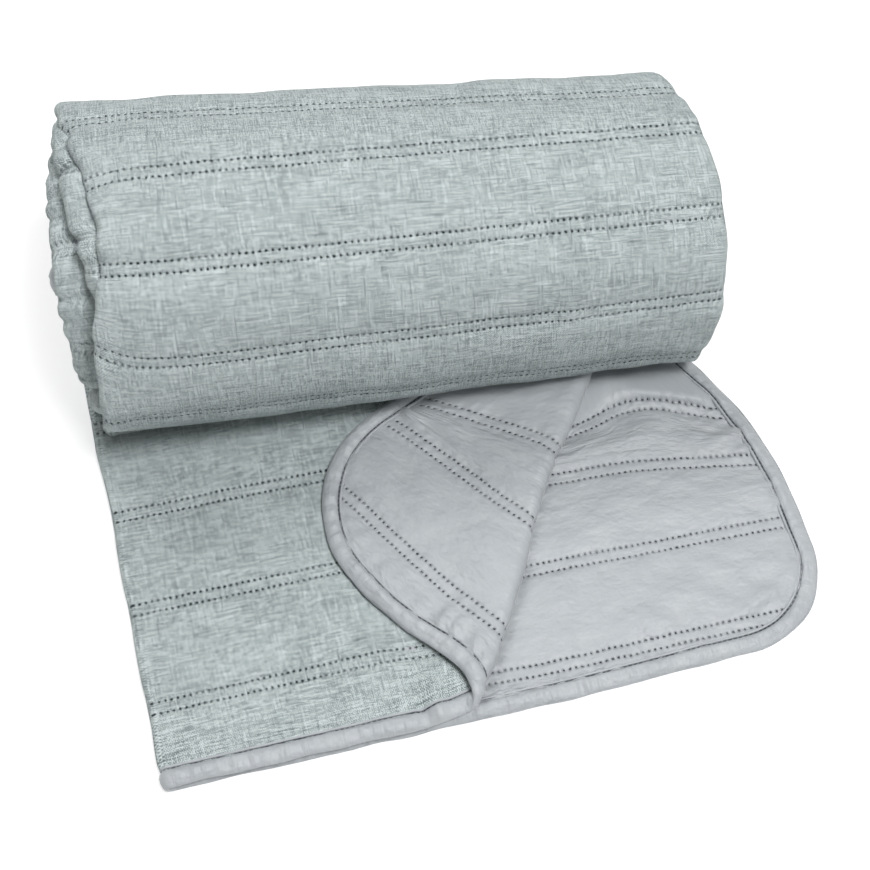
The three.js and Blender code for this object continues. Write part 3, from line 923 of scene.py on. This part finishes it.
reverse_lift = FACE_THIN + FACE_FULL * share * (1.0 + 0.22 * uneven + 0.18 * broad)
reverse_lift = reverse_lift + REVERSE_PUCKER * stitch_pucker(grid_a, grid_w, 12) * (0.4 + share)
soft_folds = ripple(grid_a * 0.8 + grid_w * 0.5, grid_w * 1.3, 71, 42)
soft_folds = soft_folds * ripple(grid_a, grid_w, 72, 120)
reverse_lift = reverse_lift + REVERSE_FOLDS * soft_folds * share
reverse_lift = reverse_lift * edge_dip + REVERSE_EDGE * edge_pucker
hidden = (grid_a > 0) & ~on_flap
reverse_lift = -np.where(hidden, np.minimum(reverse_lift, HIDDEN_LIFT), reverse_lift)
print("face up to", round(float(face_lift.max()), 1), "reverse", round(float(-reverse_lift.min()), 1))

# %% Face and reverse cloths
CLOTH_WALL = 0.7
sheet_uv = np.stack([grid_a * MM, grid_w * MM], axis=-1)
face_sheet = cloth("face_of_loose_end", drape(grid_a, grid_v, face_lift), sheet_uv,
                   FACE_CLOTH, CLOTH_WALL, inside_out=True)
reverse_sheet = cloth("reverse_of_loose_end", drape(grid_a, grid_v, reverse_lift), sheet_uv,
                      REVERSE_CLOTH, CLOTH_WALL)

# %% [markdown]
# ## Binding of the loose end
# The binding is a tape folded round the rim: a rounded strip a little thicker than the cloth,
# puckered by its stitching, and gathered where the lower layer shows beside the turned-back
# corner. A bevelled curve could be a tape too, but it wouldn't fold with its cloth. Its section
# is drawn once, as distances out from the panel and heights. It follows the rim of the flat
# cloth, and then everything is draped together.

# %% Section of the tape
TAPE_SECTION = [
    {"out": -3.8, "lift": 1.2}, {"out": -3.5, "lift": 2.5}, {"out": -2.7, "lift": 3.0},
    {"out": -1.7, "lift": 2.5}, {"out": -0.9, "lift": 1.5}, {"out": -0.1, "lift": 2.6},
    {"out": 1.2, "lift": 4.1}, {"out": 4.0, "lift": 5.0}, {"out": 7.5, "lift": 4.8},
    {"out": 10.5, "lift": 3.7}, {"out": 12.4, "lift": 2.0}, {"out": 13, "lift": 0.8},
]
OUTERMOST = (13.3, 0.0)


def tape_section():
    """The whole section: over one side, round the outer edge, back on the other side."""
    over = [(p["out"], p["lift"]) for p in TAPE_SECTION]
    under = [(out, -lift) for out, lift in reversed(over)]
    return np.array(over + [OUTERMOST] + under + [over[0]])


section = tape_section()
girth = np.concatenate([[0], np.cumsum(np.hypot(*np.diff(section, axis=0).T))])
print("tape section, mm round", round(float(girth[-1]), 1))

# %% Puckers of the tape
TAPE_WAVE, TAPE_WAVE_SWAY, TAPE_WAVE_HEIGHT = 12.5, 3.4, 0.13
GATHER_AT, GATHER_REACH, GATHER_WAVE, GATHER_HEIGHT = -335, 42, 9.4, 0.26
sway = TAPE_WAVE_SWAY * round_rim(rim_run, 21, 70)
tape_pucker = 1 + TAPE_WAVE_HEIGHT * np.sin(rim_run * 2 * math.pi / TAPE_WAVE + sway)
tape_pucker = tape_pucker + 0.08 * round_rim(rim_run, 23, 24)
gathered = np.exp(-((rim[:, 0] - GATHER_AT) / GATHER_REACH) ** 2)
gather_wave = np.sin(rim_run * 2 * math.pi / GATHER_WAVE)
tape_pucker = tape_pucker + GATHER_HEIGHT * gathered * gather_wave
tape_edge = 0.8 * round_rim(rim_run, 22, 40)
print("tape thickness varies by a share of", round(float(np.ptp(tape_pucker)), 2))

# %% Binding swept round the rim
LOWER_SLUMP = 2.0
outer = np.clip(section[:, 0] / BINDING_WIDTH, 0, 1)
out = section[None, :, 0] + tape_edge[:, None] * outer[None, :] ** 2
lift = section[None, :, 1] * np.where(section[None, :, 0] > 0, tape_pucker[:, None], 1)
tape_a = rim[:, 0:1] + rim[:, 2:3] * out
tape_v = rim[:, 1:2] + rim[:, 3:4] * out
lift = np.where(tape_a < 0, np.minimum(lift, CLOTH_HALF + 0.2), lift)
slump = LOWER_SLUMP * np.clip(out / BINDING_WIDTH, 0, 1) ** 1.3 * (tape_a < -LEFT_FOLD_RADIUS)
lift = lift + np.where(lift < 0, slump, 0)
across_tape = np.minimum(girth, girth[-2] - girth)
tape_uv = np.broadcast_arrays(rim_run[:, None] * MM, across_tape[None, :] * MM)
tape_uv = np.stack(tape_uv, axis=-1)
binding = cloth("binding_of_loose_end", drape(tape_a, tape_v, lift), tape_uv, BINDING_TAPE)

# %% [markdown]
# ## The roll's outer turn
# The outside of the roll is one cloth with its face out, drawn in at the stitched channels and
# rounded over at both ends, where it goes on into the fold. A section of the roll is nearly
# round: it bulges low at the front right, it is flat below, and under its front it hangs down
# steeply to the loose end, so that only a narrow dark line shows between them. The turned-back
# corner lies partly under the roll and lifts its cloth a little. A cylinder could be sculpted
# into this form, but a section given by angle and depth also places the turns inside it.

# %% What the roll lies on
# How the flap lifts the roll, and where it lies under it
FLAP_LIFTS, FLAP_FOLD_LIFTS, ROLL_STANDS_OFF = 8.0, 5.0, 0.6
FLAP_FROM_U, FLAP_FROM_V, PAST_FOLD, NEAR_FOLD = 236, -14, 18, 70


def along_roll(x):
    """0 at the roll's left end and 1 at its right end."""
    return np.clip((x - ROLL_LEFT_X) / (ROLL_RIGHT_X - ROLL_LEFT_X), 0, 1)


def roll_radius(x):
    """The roll tapers a little towards its right end."""
    return lerp(ROLL_RADIUS_LEFT, ROLL_RADIUS_RIGHT, along_roll(x))


def lies_on(x, y):
    """Height of what the roll lies on: its loose end, and the turned-back corner on it."""
    dx, dy = x - SHEET_ORIGIN[0], y - SHEET_ORIGIN[1]
    u = dx * math.cos(SHEET_YAW) + dy * math.sin(SHEET_YAW)
    v = dy * math.cos(SHEET_YAW) - dx * math.sin(SHEET_YAW)
    fold = flap_line_u(v)
    over_flap = smooth((u - FLAP_FROM_U) / 24) * smooth((fold + PAST_FOLD - u) / 16)
    over_flap = over_flap * smooth((FLAP_FROM_V - v) / 12)
    near_fold = smooth((u - (fold - NEAR_FOLD)) / NEAR_FOLD)
    return ROLL_CLEARS + ROLL_STANDS_OFF + over_flap * (FLAP_LIFTS + FLAP_FOLD_LIFTS * near_fold)


mean_radius = 0.5 * (ROLL_RADIUS_LEFT + ROLL_RADIUS_RIGHT)
print("the roll lies on cloth this high, mm", round(float(lies_on(0.0, 100.0)), 1))

# %% Section of the roll
CROWN_LEFT, CROWN_RIGHT, CROWN_ANGLE = -4.6, 9.1, 24
BULGE_LEFT, BULGE_RIGHT, BULGE_ANGLE, BULGE_WIDTH = -5.5, 17.5, -38, 22
HANGS_FROM, HANGS_TO, HANG_ANGLE_MOST, HANG_MOST, HANG_SHARE = -32, -100, 50, 24, 0.9
FLAT_SPOT_SINK = 2
FLAT_BELOW_DEPTH, LAYERS_PRESSED_TO = 30, 0.8


def roll_point(angle, x, depth):
    """A point at an angle in degrees, a place along the roll and a depth under its surface."""
    along = along_roll(x)
    radius = roll_radius(x)
    crown = lerp(CROWN_LEFT, CROWN_RIGHT, along)
    bulge = lerp(BULGE_LEFT, BULGE_RIGHT, along)
    turned = (angle + 180) % 360 - 180

    # How far the section stands out from a circle: on top, low in front, and where it hangs
    swell = crown * np.maximum(0, np.cos(np.radians(angle - CROWN_ANGLE))) ** 2
    swell = swell + bulge * np.exp(-((turned - BULGE_ANGLE) / BULGE_WIDTH) ** 2)
    hang = np.radians(np.clip(HANGS_FROM - turned, 0, HANG_ANGLE_MOST)) * (turned > HANGS_TO)
    swell = swell + HANG_SHARE * np.minimum(radius * (1 / np.cos(hang) - 1), HANG_MOST)
    r = radius + swell * np.clip(1 - depth / radius, 0, 1) - depth
    middle = radius - FLAT_SPOT_SINK
    y = ROLL_AXIS_Y - r * np.cos(np.radians(angle))
    z = middle + r * np.sin(np.radians(angle))

    # The outermost layers lie flat on the floor, or on the loose end
    below = np.where(y > ROLL_AXIS_Y - 3, 0.0, lies_on(x, y))
    below = below + np.maximum(0, depth) * LAYERS_PRESSED_TO
    z = np.where(depth < FLAT_BELOW_DEPTH, np.maximum(z, below), z)
    return np.stack([x + 0 * z, y, z], axis=-1)


top_of_roll = float(roll_point(90.0, 0.0, 0.0)[2])
print("top of the roll, mm", round(top_of_roll, 1))

# %% [markdown]
# ## Rows and edges of the outer turn
# Channels of stitching run along the roll, a little closer together at its thinner end. At the
# left the cloth is folded in, and its edge steps in and out where rows and creases meet it, as
# in the photograph. The right end is out of sight and is kept plain. A cutter could trim both
# ends, but a folded edge isn't cut, so each line of the cloth starts and stops at its own x.

# %% Stitched rows of the roll
# Each channel's angle at the roll's left and right end, from the front over the top
ROLL_CHANNELS = [
    (-52, -57), (-14, -29), (16.8, 12.5), (50.9, 48.4), (83.9, 84.2),
    (112, 108.6), (143, 142), (177, 177), (211, 211), (244, 244),
]
# How many degrees each channel bends beside the left edge
ROW_BENDS = [0, 0, 8, 1, -2.5, -1.5, 0, 0, 0, 0]
ROW_BEND_REACH = 22


def channel_angles(x):
    along = along_roll(x)
    return [lerp(left, right, along) for left, right in ROLL_CHANNELS]


print("channels on the roll", len(ROLL_CHANNELS))

# %% Ends of the outer turn
# The left edge: angle in degrees, and x
LEFT_EDGE = [
    (-90, -262), (-57, -261), (-30, -256), (10, -247), (22, -245), (31, -240), (39, -236),
    (49, -231), (58, -230), (67, -229), (78, -232), (89, -235), (101, -242), (112, -247),
    (121, -251), (150, -254), (200, -252), (270, -252),
]
# Creases across it: angle in degrees, depth in millimetres, width in degrees
EDGE_CREASES = [
    (-42, 4.0, 5.0), (-27, 3.0, 4.0), (3, 0.6, 5.0), (33, 1.6, 4.0), (67, 3.0, 5.0),
    (92, 6.0, 4.0), (107, 4.5, 3.0), (124, 4.0, 6.0), (160, 3.0, 6.0), (230, 3.0, 6.0),
]
ROW_SETS_IN, ROW_WIDTH, CREASE_SETS_IN, LEFT_WANDERS = 2.0, 4.0, 0.6, 1.5
RIGHT_EDGE_X, RIGHT_LEANS_FRONT, RIGHT_LEANS_UP, RIGHT_WANDERS = 241, 10.3, 8.0, 1.6


def creased_at(angle):
    """How deep the creases across the left edge are, at an angle."""
    return sum(deep * np.exp(-((angle - at) / wide) ** 2) for at, deep, wide in EDGE_CREASES)


def outer_left_x(angle):
    """The folded left edge of the outer turn: set in where a row or a crease meets it."""
    base = np.interp(angle, *zip(*LEFT_EDGE))
    rows = sum(np.exp(-((angle - left) / ROW_WIDTH) ** 2) for left, _ in ROLL_CHANNELS)
    wander = LEFT_WANDERS * ripple(angle * 2.2, angle * 0, 31, 60)
    return base + ROW_SETS_IN * rows + CREASE_SETS_IN * creased_at(angle) + wander - LEFT_WANDERS


def outer_right_x(angle):
    """The right edge lies in a plane that leans, and wanders a little."""
    lean = np.radians(angle)
    base = RIGHT_EDGE_X + RIGHT_LEANS_FRONT * np.cos(lean) + RIGHT_LEANS_UP * np.sin(lean)
    return base + RIGHT_WANDERS * ripple(angle * 2.1, angle * 0, 33, 90)


edges_on_top = [round(float(edge(90.0)), 1) for edge in (outer_left_x, outer_right_x)]
print("left and right edge on top, mm", edges_on_top)

# %% Lines of the outer turn
SKIN_STEP, SKIN_LENGTH = 3.3, 490
LEFT_ROUND, RIGHT_ROUND = 8.0, 9.0
FIRST_LINES = [-63, -54, -46, -38, -30, -22]
LAST_SKIN_CHANNEL = (len(ROLL_CHANNELS) - 1) * PITCH
skin_w = FIRST_LINES + [w for w in row_lines(len(ROLL_CHANNELS)) if w > -15]
skin_w += [LAST_SKIN_CHANNEL + o for o in (45, 52)]
flat_part = np.linspace(0, 1, int(SKIN_LENGTH / SKIN_STEP) + 1)
left_turn = np.radians(np.linspace(-85, 90, 13, endpoint=False))
right_turn = np.radians(np.linspace(90, -85, 11)[1:])


def rolled_over(x0, x1):
    """One line from edge to edge: places along the roll, drops at its ends, lengths of cloth."""
    x = np.concatenate([x0 + LEFT_ROUND * (1 - np.cos(left_turn)),
                        lerp(x0 + LEFT_ROUND, x1 - RIGHT_ROUND, flat_part),
                        x1 - RIGHT_ROUND * (1 - np.cos(right_turn))])
    drop = np.concatenate([LEFT_ROUND * (1 - np.sin(left_turn)), 0 * flat_part,
                           RIGHT_ROUND * (1 - np.sin(right_turn))])
    s = np.concatenate([x0 + LEFT_ROUND * (1 + left_turn - math.pi / 2),
                        lerp(x0 + LEFT_ROUND, x1 - RIGHT_ROUND, flat_part),
                        x1 - RIGHT_ROUND * (1 + right_turn - math.pi / 2)])
    return x, drop, s


print("outer turn", len(skin_w), "lines of", len(rolled_over(-250.0, 250.0)[0]), "points")

# %% Relief of the outer turn
ROLL_FULL, ROLL_PUCKER = 3.4, 0.30
EDGE_CREASE_DEEP, EDGE_CREASE_REACH = 0.8, 16
ROW_PINCH, ROW_PINCH_WIDTH, ROW_PINCH_REACH = 2.2, 11, 26


def skin_relief(w, near, s, left_in, right_in):
    """Heights along one line of the outer turn: its puffs, its soft dents, and its ends."""
    row = np.full_like(s, w)
    puff = ROLL_FULL * (puff_share(row) * (0.92 + 0.16 * ripple(s, row, 41, 130)) - 0.8)
    puff = puff + ROLL_PUCKER * stitch_pucker(s, row, 42)
    dent = 1.5 * ripple(s, row, 43, 210) + 0.55 * ripple(s, row, 44, 66)
    edge = -EDGE_CREASE_DEEP * creased_at(near) * np.exp(-left_in / EDGE_CREASE_REACH)
    off_row = (from_channel(w) / ROW_PINCH_WIDTH) ** 2
    edge = edge - ROW_PINCH * np.exp(-off_row - left_in / ROW_PINCH_REACH)
    edge = edge + 0.9 * ripple(near * 3.3 + 0 * s, s, 45, 50) * np.exp(-left_in / 30)
    edge = edge + 1.1 * ripple(near * 2.4 + 0 * s, s, 47, 20) * np.exp(-left_in / 16)
    edge = edge + 1.6 * ripple(s, near * 3.0 + 0 * s, 46, 55) * np.exp(-right_in / 55)
    return puff, dent, edge


# %% Outer turn
SKIN_WALL = 0.9
BEYOND_CHANNELS = 45
LEFT_ROWS_X = ROLL_LEFT_X + 30.0
at_left = [np.radians(c) * mean_radius for c in channel_angles(LEFT_ROWS_X)]
skin_points, skin_uv = [], []
for w in skin_w:
    near = np.degrees(place_of_row(w, at_left, BEYOND_CHANNELS, BEYOND_CHANNELS) / mean_radius)
    x0, x1 = float(outer_left_x(near)), float(outer_right_x(near))
    x, drop, s = rolled_over(x0, x1)
    left_in, right_in = np.maximum(0, x - x0), np.maximum(0, x1 - x)
    radius = roll_radius(x)
    bent = np.exp(-(left_in / ROW_BEND_REACH) ** 1.5)
    centres = [np.radians(c + b * bent) * radius for c, b in zip(channel_angles(x), ROW_BENDS)]
    angle = np.degrees(place_of_row(w, centres, BEYOND_CHANNELS, BEYOND_CHANNELS) / radius)
    puff, dent, edge = skin_relief(w, near, s, left_in, right_in)
    skin_points.append(roll_point(angle, x, drop - puff - dent - edge))
    skin_uv.append(np.stack([s * MM, np.full_like(s, w) * MM], axis=-1))
skin_points, skin_uv = np.array(skin_points), np.array(skin_uv)
outer_turn = cloth("outer_turn_of_roll", skin_points, skin_uv, FACE_CLOTH, SKIN_WALL)

# %% [markdown]
# ## The wound turns
# Inside the outer turn the folded cloth goes on in a spiral. Its path across the roll is the
# cloth folded in four: bound edge, round the left fold, back, round the right fold, back again,
# round the inner left fold, and out to the other bound edge. Sweeping that path along the
# spiral gives the real layers that show at both ends. Rings one inside another would be
# simpler, but they would look stacked and not wound.

# %% Path of the cloth folded in four
PACKET = 21.4
LAYER_GAP = 0.8
BOUND_SET_IN = 5
WOUND_WALL = 4.6
# Grid places, in millimetres from the left fold on a path this long
PATH_LENGTH = 470.0
FROM_LEFT = np.array([0, 5, 11, 18, 27, 40, 70, 200, 400, PATH_LENGTH])
LEFT_FOLD_TURN = np.linspace(-math.pi / 2, math.pi / 2, 12)[1:-1]
SMALL_TURN = np.linspace(-math.pi / 2, math.pi / 2, 7)[1:-1]


def packet_path(x_left, x_right):
    """Places along the roll and depths in the packet, for the cloth folded in four."""
    middle, inner_r = PACKET / 2, LAYER_GAP / 2
    outer_r, right_r = middle, (middle - inner_r) / 2
    depths = [0.0, middle - inner_r, middle + inner_r, PACKET]
    left_centre = x_left + outer_r
    bound, right_centre = x_right - BOUND_SET_IN, x_right - right_r
    run = left_centre + FROM_LEFT * (bound - left_centre) / PATH_LENGTH
    end = left_centre + FROM_LEFT * (right_centre - left_centre) / PATH_LENGTH

    # Bound edge to left fold, on to the right fold, back to the inner left fold, and out again
    path = [(x, depths[3]) for x in run[::-1]]
    for t in LEFT_FOLD_TURN:
        path.append((left_centre - outer_r * math.cos(t), middle - outer_r * math.sin(t)))
    path += [(x, depths[0]) for x in end]
    for t in SMALL_TURN:
        path.append((right_centre + right_r * math.cos(t), right_r + right_r * math.sin(t)))
    path += [(x, depths[1]) for x in end[::-1]]
    for t in SMALL_TURN:
        path.append((left_centre - inner_r * math.cos(t), middle + inner_r * math.sin(t)))
    path += [(x, depths[2]) for x in run]
    return np.array(path)


print("points on the path", len(packet_path(-250.0, 250.0)))

# %% [markdown]
# ## Ends of the wound turns
# In the photograph the turns at the left end aren't flush. The first is set back in front, the
# next ones stand out, each stitched channel pinches the fold, and short creases cross it. They
# could be pushed into place one by one, but the spiral is one cloth, so its places are given by
# how far it has wound. The layers nearly touch, as the few that show in the photograph do. At
# the right, out of sight, the first turn is set in under the rounded edge, and the core comes
# out a little.

# %% Creases across the folded edge of the turns
TURN_CREASES = 44
crease_draw = np.random.default_rng(81)
crease_places = np.cumsum(crease_draw.uniform(18, 62, TURN_CREASES))
crease_depths = crease_draw.uniform(0.4, 1.3, TURN_CREASES)
crease_widths = crease_draw.uniform(2.4, 4.4, TURN_CREASES)


def crease_at(s):
    """How deep the short creases across the folded edge are, at a length along the spiral."""
    return float(np.sum(crease_depths * np.exp(-((s - crease_places) / crease_widths) ** 2)))


print("short creases along the spiral", TURN_CREASES)

# %% Depth and ends of a turn
TURN_PITCH = 22.0
FIRST_DEPTH = 7.6
EVEN_SHARE, STEP_SHARE = 0.35, 0.65
STEP_FROM, STEP_OVER = 0.82, 0.18
RIGHT_SET_IN, RIGHT_CORE_X, RIGHT_COMES_OUT_OVER, RIGHT_UNEVEN = 5, 256, 1.6, 2.6
# The left fold: turns wound so far, and x
LEFT_OF_TURN = [
    (0, -250), (0.25, -251), (0.38, -256), (0.47, -255), (0.54, -250), (0.61, -244), (0.65, -238),
    (0.70, -237), (0.76, -241), (0.8, -250), (0.84, -262), (0.9, -271), (1.0, -270), (1.15, -262),
    (1.35, -263), (1.5, -266), (1.58, -268), (1.65, -269), (1.75, -269), (1.85, -269), (2.1, -268),
    (2.5, -269), (3.5, -273), (5.4, -276),
]


def turn_depth(k):
    """Depth of the packet after k turns: it steps inwards mostly below, where it can't be seen."""
    whole, part = math.floor(k), k % 1
    step = float(smooth((part - STEP_FROM) / STEP_OVER))
    return FIRST_DEPTH + TURN_PITCH * (whole + EVEN_SHARE * part + STEP_SHARE * step)


def right_of_turn(angle, k, length):
    """x of the right fold: under the rounded edge first, and then out to the core."""
    first = float(outer_right_x((angle + 90) % 360 - 90)) - RIGHT_SET_IN
    x = lerp(first, RIGHT_CORE_X, float(smooth(k / RIGHT_COMES_OUT_OVER)))
    return x + RIGHT_UNEVEN * float(ripple(np.array(length), np.array(k * 30), 53, 110))


print("depth of the packet, mm, turn by turn", [round(turn_depth(k), 1) for k in range(6)])

# %% Spiral of the wound turns
TURNS = 5.3
WOUND_STEP = 3.0
FIRST_ROW = 22
SMALLEST_RADIUS = 5
PINCH_WIDTH, PINCH_BESIDE, PINCH_BESIDE_SHARE = 5.0, 22, 0.35
CRUMPLE, CREASED, END_REACH = 1.7, 2.6, 22
PACKED, PINCH_SQUEEZES = 0.97, 0.18
turn_points, turn_uv = [], []
bound_inner, bound_outer = [], []
wound, length = 0.0, 0.0
while wound < TURNS * 360:
    angle = -90 - wound
    k = wound / 360
    row = length + FIRST_ROW
    under = turn_depth(k)

    # A stitched channel pinches the fold, and between channels the cloth is plump
    away = float(from_channel(row))
    pinch = math.exp(-(away / PINCH_WIDTH) ** 2)
    pinch = pinch + PINCH_BESIDE_SHARE * math.exp(-((away - PINCH_BESIDE) / PINCH_WIDTH) ** 2)
    plump = math.sqrt(min(1, away / (PITCH / 2)))
    wave = float(ripple(np.array(wound * 1.3), np.array(k * 40), 51, 90))
    small_wave = float(ripple(np.array(length), np.array(k * 70), 52, 34))

    # Each of them moves the fold by a few millimetres, and the creases set it in
    x_left = float(np.interp(k, *zip(*LEFT_OF_TURN)))
    x_left = x_left + 1.8 * pinch - 1.0 * plump - 1.2 * wave - 0.7 * small_wave
    x_left = x_left + CREASED * crease_at(length)
    path = packet_path(x_left, right_of_turn(angle, k, length))

    # Near the left fold the layers are loose and a little crumpled
    near_left = np.exp(-np.maximum(0, path[:, 0] - x_left) / END_REACH)
    loose = (1.6 * pinch - 0.8 * plump + 1.8 * small_wave + 4.2 * crease_at(length)) * near_left
    across_cloth = np.concatenate([[0], np.cumsum(np.hypot(*np.diff(path, axis=0).T))])
    here = np.full(len(path), length)
    crumple = ripple(here, across_cloth, 54, 24)
    depth = under + path[:, 1] * PACKED * (1 - PINCH_SQUEEZES * pinch)
    depth = depth + loose + CRUMPLE * crumple * near_left
    path_x = path[:, 0] + 0.6 * CRUMPLE * ripple(across_cloth, here, 55, 20) * near_left
    depth = depth * roll_radius(path_x) / mean_radius
    turn_points.append(roll_point(np.full(len(path), angle), path_x, depth))
    turn_uv.append(np.stack([across_cloth * MM, np.full(len(path), row * MM)], axis=-1))
    bound_inner.append((angle, path[0, 0], depth[0] - WOUND_WALL / 2))
    bound_outer.append((angle, path[-1, 0], depth[-1] + WOUND_WALL / 2))
    length += WOUND_STEP
    wound += math.degrees(WOUND_STEP / max(mean_radius - under, SMALLEST_RADIUS))
turn_points, turn_uv = np.array(turn_points), np.array(turn_uv)
print("spiral length m", round(length * MM, 3))

# %% Wound turns, with the reverse inside
wound_turns = cloth("wound_turns", turn_points, turn_uv, FOLDED_FACE_CLOTH, WOUND_WALL,
                    inside_out=True)
wound_turns.data.materials.append(REVERSE_CLOTH)
wound_turns.modifiers["thickness"].material_offset = 1
wound_turns.modifiers["thickness"].material_offset_rim = 1

# %% [markdown]
# ## Bound edges of the wound turns
# The cloth's two bound edges wind with the turns, and their tape shows between the layers at the
# roll's right end. A real tape is sewn on flat and then wound. Here a closed tape section is
# swept along the same spiral, which keeps it on the edge of its layer all the way in.

# %% Bound edges in the roll's right end
# Places along the roll and depths, from the middle of the layer's edge
BOUND_SECTION = np.array([
    (-9, -1.2), (-9, -2.2), (-3, -2.6), (2, -2.2), (4, -1.2), (4.6, 0),
    (4, 1.2), (2, 2.2), (-3, 2.6), (-9, 2.2), (-9, 1.2), (-9, -1.2),
])


def wound_binding(name, rim_path):
    """A bound edge that winds with the turns: a rounded tape section swept along the spiral."""
    around = np.concatenate([[0], np.cumsum(np.hypot(*np.diff(BOUND_SECTION, axis=0).T))])
    rows, uvs = [], []
    for i, (angle, x, depth) in enumerate(rim_path):
        angles = np.full(len(BOUND_SECTION), angle)
        rows.append(roll_point(angles, x + BOUND_SECTION[:, 0], depth + BOUND_SECTION[:, 1]))
        uvs.append(np.stack([np.full(len(around), i * WOUND_STEP * MM), around * MM], axis=-1))
    return cloth(name, np.array(rows), np.array(uvs), BINDING_TAPE, inside_out=True)


wound_binding_inner = wound_binding("wound_binding_inner", bound_inner)
wound_binding_outer = wound_binding("wound_binding_outer", bound_outer)

# %% [markdown]
# ## Which solids the cloth stands for
# Each piece rides on the model's one body, and the solid that it stands for is hidden.

for piece, slot, node in (
    (face_sheet, "face_cloth", "face_panel"),
    (reverse_sheet, "reverse_cloth", "reverse_panel"),
    (binding, "binding_tape", "binding"),
    (outer_turn, "face_cloth", "roll"),
    (wound_turns, "face_cloth", "roll"),
    (wound_binding_inner, "binding_tape", "roll"),
    (wound_binding_outer, "binding_tape", "roll"),
):
    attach(piece, "root")
    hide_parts(node)
    print(piece.name, "stands for", node)

# %% [markdown]
# ## Floor and light
# The photograph is a plain studio shot on white. A soft key light stands high in front and to
# the right, so the roll's low front and the gap under it go dark, the left end is shaded, and a
# pale shadow falls to the left. A weaker light behind brings out the quilting, a faint one in
# front keeps the low front readable, and the floor glows a little to stay as white as there. A
# picture of a studio could light it too, but a few lamps are easier to place and to change.

# %% Floor
FLOOR_TINT = tint(188, 188, 188)
FLOOR_GLOW = 0.55
WHITE = (1, 1, 1, 1)
floor_bm = bmesh.new()
bmesh.ops.create_grid(floor_bm, x_segments=1, y_segments=1, size=9.0)
floor_mesh = bpy.data.meshes.new("floor")
floor_bm.to_mesh(floor_mesh)
floor_bm.free()
floor = bpy.data.objects.new("floor", floor_mesh)
bpy.context.scene.collection.objects.link(floor)
floor_paint = Paint("floor")
floor_mesh.materials.append(floor_paint.finish(
    FLOOR_TINT, CLOTH_ROUGH, None, Emission_Color=WHITE, Emission_Strength=FLOOR_GLOW))


# %% Lights
def soft_light(name, at, aim, size, power):
    data = bpy.data.lights.new(name, "AREA")
    data.shape = "SQUARE"
    data.size = size
    data.energy = power
    lamp = bpy.data.objects.new(name, data)
    lamp.location = at
    lamp.rotation_euler = (Vector(aim) - Vector(at)).to_track_quat("-Z", "Y").to_euler()
    bpy.context.scene.collection.objects.link(lamp)
    print(name, power, "W")


soft_light("key_light", at=(0.6, -0.95, 2.95), aim=(0, 0.1, 0.05), size=0.8, power=82)
soft_light("front_light", at=(0.9, -2.5, 1.25), aim=(0, 0, 0.1), size=1.3, power=8)
soft_light("back_light", at=(-0.4, 1.6, 2.8), aim=(0, 0.1, 0), size=1.4, power=42)

# %% World
WORLD_STRENGTH = 0.3
world = bpy.data.worlds.new("studio")
world.use_nodes = True
background = world.node_tree.nodes["Background"]
background.inputs["Color"].default_value = WHITE
background.inputs["Strength"].default_value = WORLD_STRENGTH
bpy.context.scene.world = world
bpy.context.scene.view_settings.view_transform = "Standard"
print("world strength", WORLD_STRENGTH)
